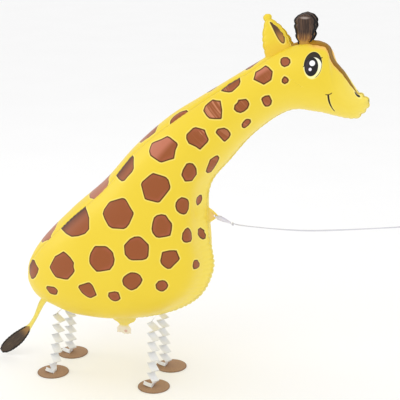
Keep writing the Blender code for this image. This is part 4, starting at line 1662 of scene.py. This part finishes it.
def loose_end(name, slit, paper):
    """The strip's free end, folded over the card beside its slit and lifted a little."""
    turn = math.radians(rng.uniform(*LOOSE_END_TURNS))
    away = np.array((-math.cos(turn), -math.sin(turn), 0))
    sideways = np.array((math.sin(turn), -math.cos(turn), 0))
    lift = LOOSE_END_RISE * rng.uniform(*LOOSE_END_SPREAD)
    start = np.array((slit[0] - SLIT_WIDTH / 2, slit[1], FOOT_THICKNESS + LOOSE_END_GAP))
    rings, kept = [], []
    for share in np.arange(LOOSE_END_RINGS) / (LOOSE_END_RINGS - 1):
        rise = UP * (lift * share**LOOSE_END_POWER)
        middle = start + away * (LOOSE_END_LENGTH * share) + rise
        ring = []
        for side, across in around_strip(LOOSE_END_COLUMNS):
            curl = LOOSE_END_CURL * share * across * across + LOOSE_END_TILT * share * across
            height = UP * (curl + PAPER_HALF_THICKNESS * (side + 1))
            ring.append(middle + sideways * (across * STRIP_WIDTH / 2) + height)
            kept.append((across, 0.2 + 0.6 * share, 0))
        rings.append(ring)
    flap = tube("paper_end_" + name, rings, paper)
    store(flap, "strip", np.array(kept))
    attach(flap, "root")


def add_leg(name, paper):
    _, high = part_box("leg_" + name)
    corners, turns = leg_line(name, high[2] - LEG_TOP_GAP)
    rings, kept = [], []
    for i, (a, b) in enumerate(zip(corners, corners[1:])):
        last = i == len(corners) - 2
        way = unit(b - a)
        lean = rng.uniform(-PANEL_LEAN, PANEL_LEAN) * MM * (not last)
        bow = rng.uniform(*PANEL_BOW) * MM * (-1) ** i * (not last)
        cup = PANEL_CUP * MM * (-1) ** i * (not last)
        for k in range(PANEL_RINGS + last):
            share = k / PANEL_RINGS
            point = a + (b - a) * share
            turn = turns[i] + (turns[i + 1] - turns[i]) * share
            sideways = np.array((math.sin(turn), math.cos(turn), 0))
            face = unit(np.cross(way, sideways))
            arch = bow * 4 * share * (1 - share)
            ring = []
            for side, across in around_strip(LEG_COLUMNS):
                bent = lean * across + cup * (1 - across * across)
                out = arch + bent * math.sin(math.pi * share) + PAPER_HALF_THICKNESS * side
                ring.append(point + sideways * (across * STRIP_WIDTH / 2) + face * out)
                kept.append((across, share, 0))
            rings.append(ring)
    leg = tube("paper_leg_" + name, rings, paper)
    store(leg, "strip", np.array(kept))
    outward(leg)
    loose_end(name, corners[-1], paper)
    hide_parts("leg_" + name)
    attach(leg, "root")


def add_foot(name, card):
    """A card disc with softened rims and a long slit, both cut through."""
    x, y, slit_offset = foot_centre(name)
    radius = FOOT_DIAMETER / 2
    half = np.array((SLIT_WIDTH, SLIT_LENGTH)) / 2
    turns = 2 * math.pi * np.arange(FOOT_SIDES) / FOOT_SIDES
    outer = np.stack([np.cos(turns), np.sin(turns)], 1)
    stretched = outer * SLIT_STRETCH
    scale = (half / np.maximum(np.abs(stretched), TINY)).min(axis=1)
    inner = (slit_offset, 0.0) + stretched * scale[:, None]
    top, soft = FOOT_THICKNESS, FOOT_SOFTNESS
    rims = ((soft, 0.0), (0, soft), (0, top / 2), (0, top - soft), (soft, top))
    levels = [(share, 0, 0.0) for share in CARD_SHARES]
    levels += [(1.0, pull, z) for pull, z in rims]
    levels += [(share, 0, top) for share in reversed(CARD_SHARES)]
    rings, kept = [], []
    for share, pull, z in levels:
        flat = inner + (outer * radius - inner) * share
        flat = flat * (1 - pull / radius)
        rings.append([np.array((x + p[0], y + p[1], z)) for p in flat])
        kept.extend([(share, 0, 0)] * FOOT_SIDES)
    foot = tube("card_foot_" + name, rings, card, closed=True)
    store(foot, "disc", np.array(kept))
    outward(foot)
    foot.data.set_sharp_from_angle(angle=math.radians(CARD_BEND))
    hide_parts("foot_" + name)
    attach(foot, "root")


def add_legs():
    paper, card = paper_material(), card_material()
    for name in LEGS:
        add_leg(name, paper)
        add_foot(name, card)


add_legs()


# ---- Floor, backdrop and light ----

FLOOR_REACH = 9
FLOOR_DROP = 0.0002
SKY_STRENGTH = 0.97
# Name, place, target, width and height, and power of each lamp
LAMPS = (
    ("key", (-0.6, -1.9, 2.3), (0, 0, 0.4), (1.8, 1.2), 5),
    ("front", (1.7, -1.6, 1.2), (0.1, 0, 0.4), (1.0, 1.4), 1.5),
    ("left", (-2.3, -0.25, 1.25), (0, 0, 0.45), (0.7, 1.3), 5),
    ("top", (0.0, 0.3, 2.4), (0, 0, 0.4), (2.4, 1.0), 3),
)


def add_stage():
    m = Maker("studio_white")
    m.set(
        Base_Color=m.mix(m.noise(3, 2), (250, 250, 250), (253, 253, 253)),
        Roughness=0.9,
    )
    far = FLOOR_REACH
    corners = [(-far, -far, 0), (far, -far, 0), (far, far, 0), (-far, far, 0)]
    floor = mesh_object("studio_floor", corners, [(0, 1, 2, 3)], m.material, smooth=False)
    floor.location.z = -FLOOR_DROP


def add_light():
    world = bpy.data.worlds.new("studio")
    world.use_nodes = True
    background = world.node_tree.nodes["Background"]
    background.inputs["Color"].default_value = (1, 1, 1, 1)
    background.inputs["Strength"].default_value = SKY_STRENGTH
    bpy.context.scene.world = world
    for name, place, target, size, power in LAMPS:
        data = bpy.data.lights.new(name, "AREA")
        data.shape = "RECTANGLE"
        data.size, data.size_y = size
        data.energy = power
        lamp = bpy.data.objects.new(name, data)
        bpy.context.collection.objects.link(lamp)
        lamp.location = place
        away = Vector(place) - Vector(target)
        lamp.rotation_euler = away.to_track_quat("Z", "Y").to_euler()
    bpy.context.scene.view_settings.view_transform = "Standard"


add_stage()
add_light()
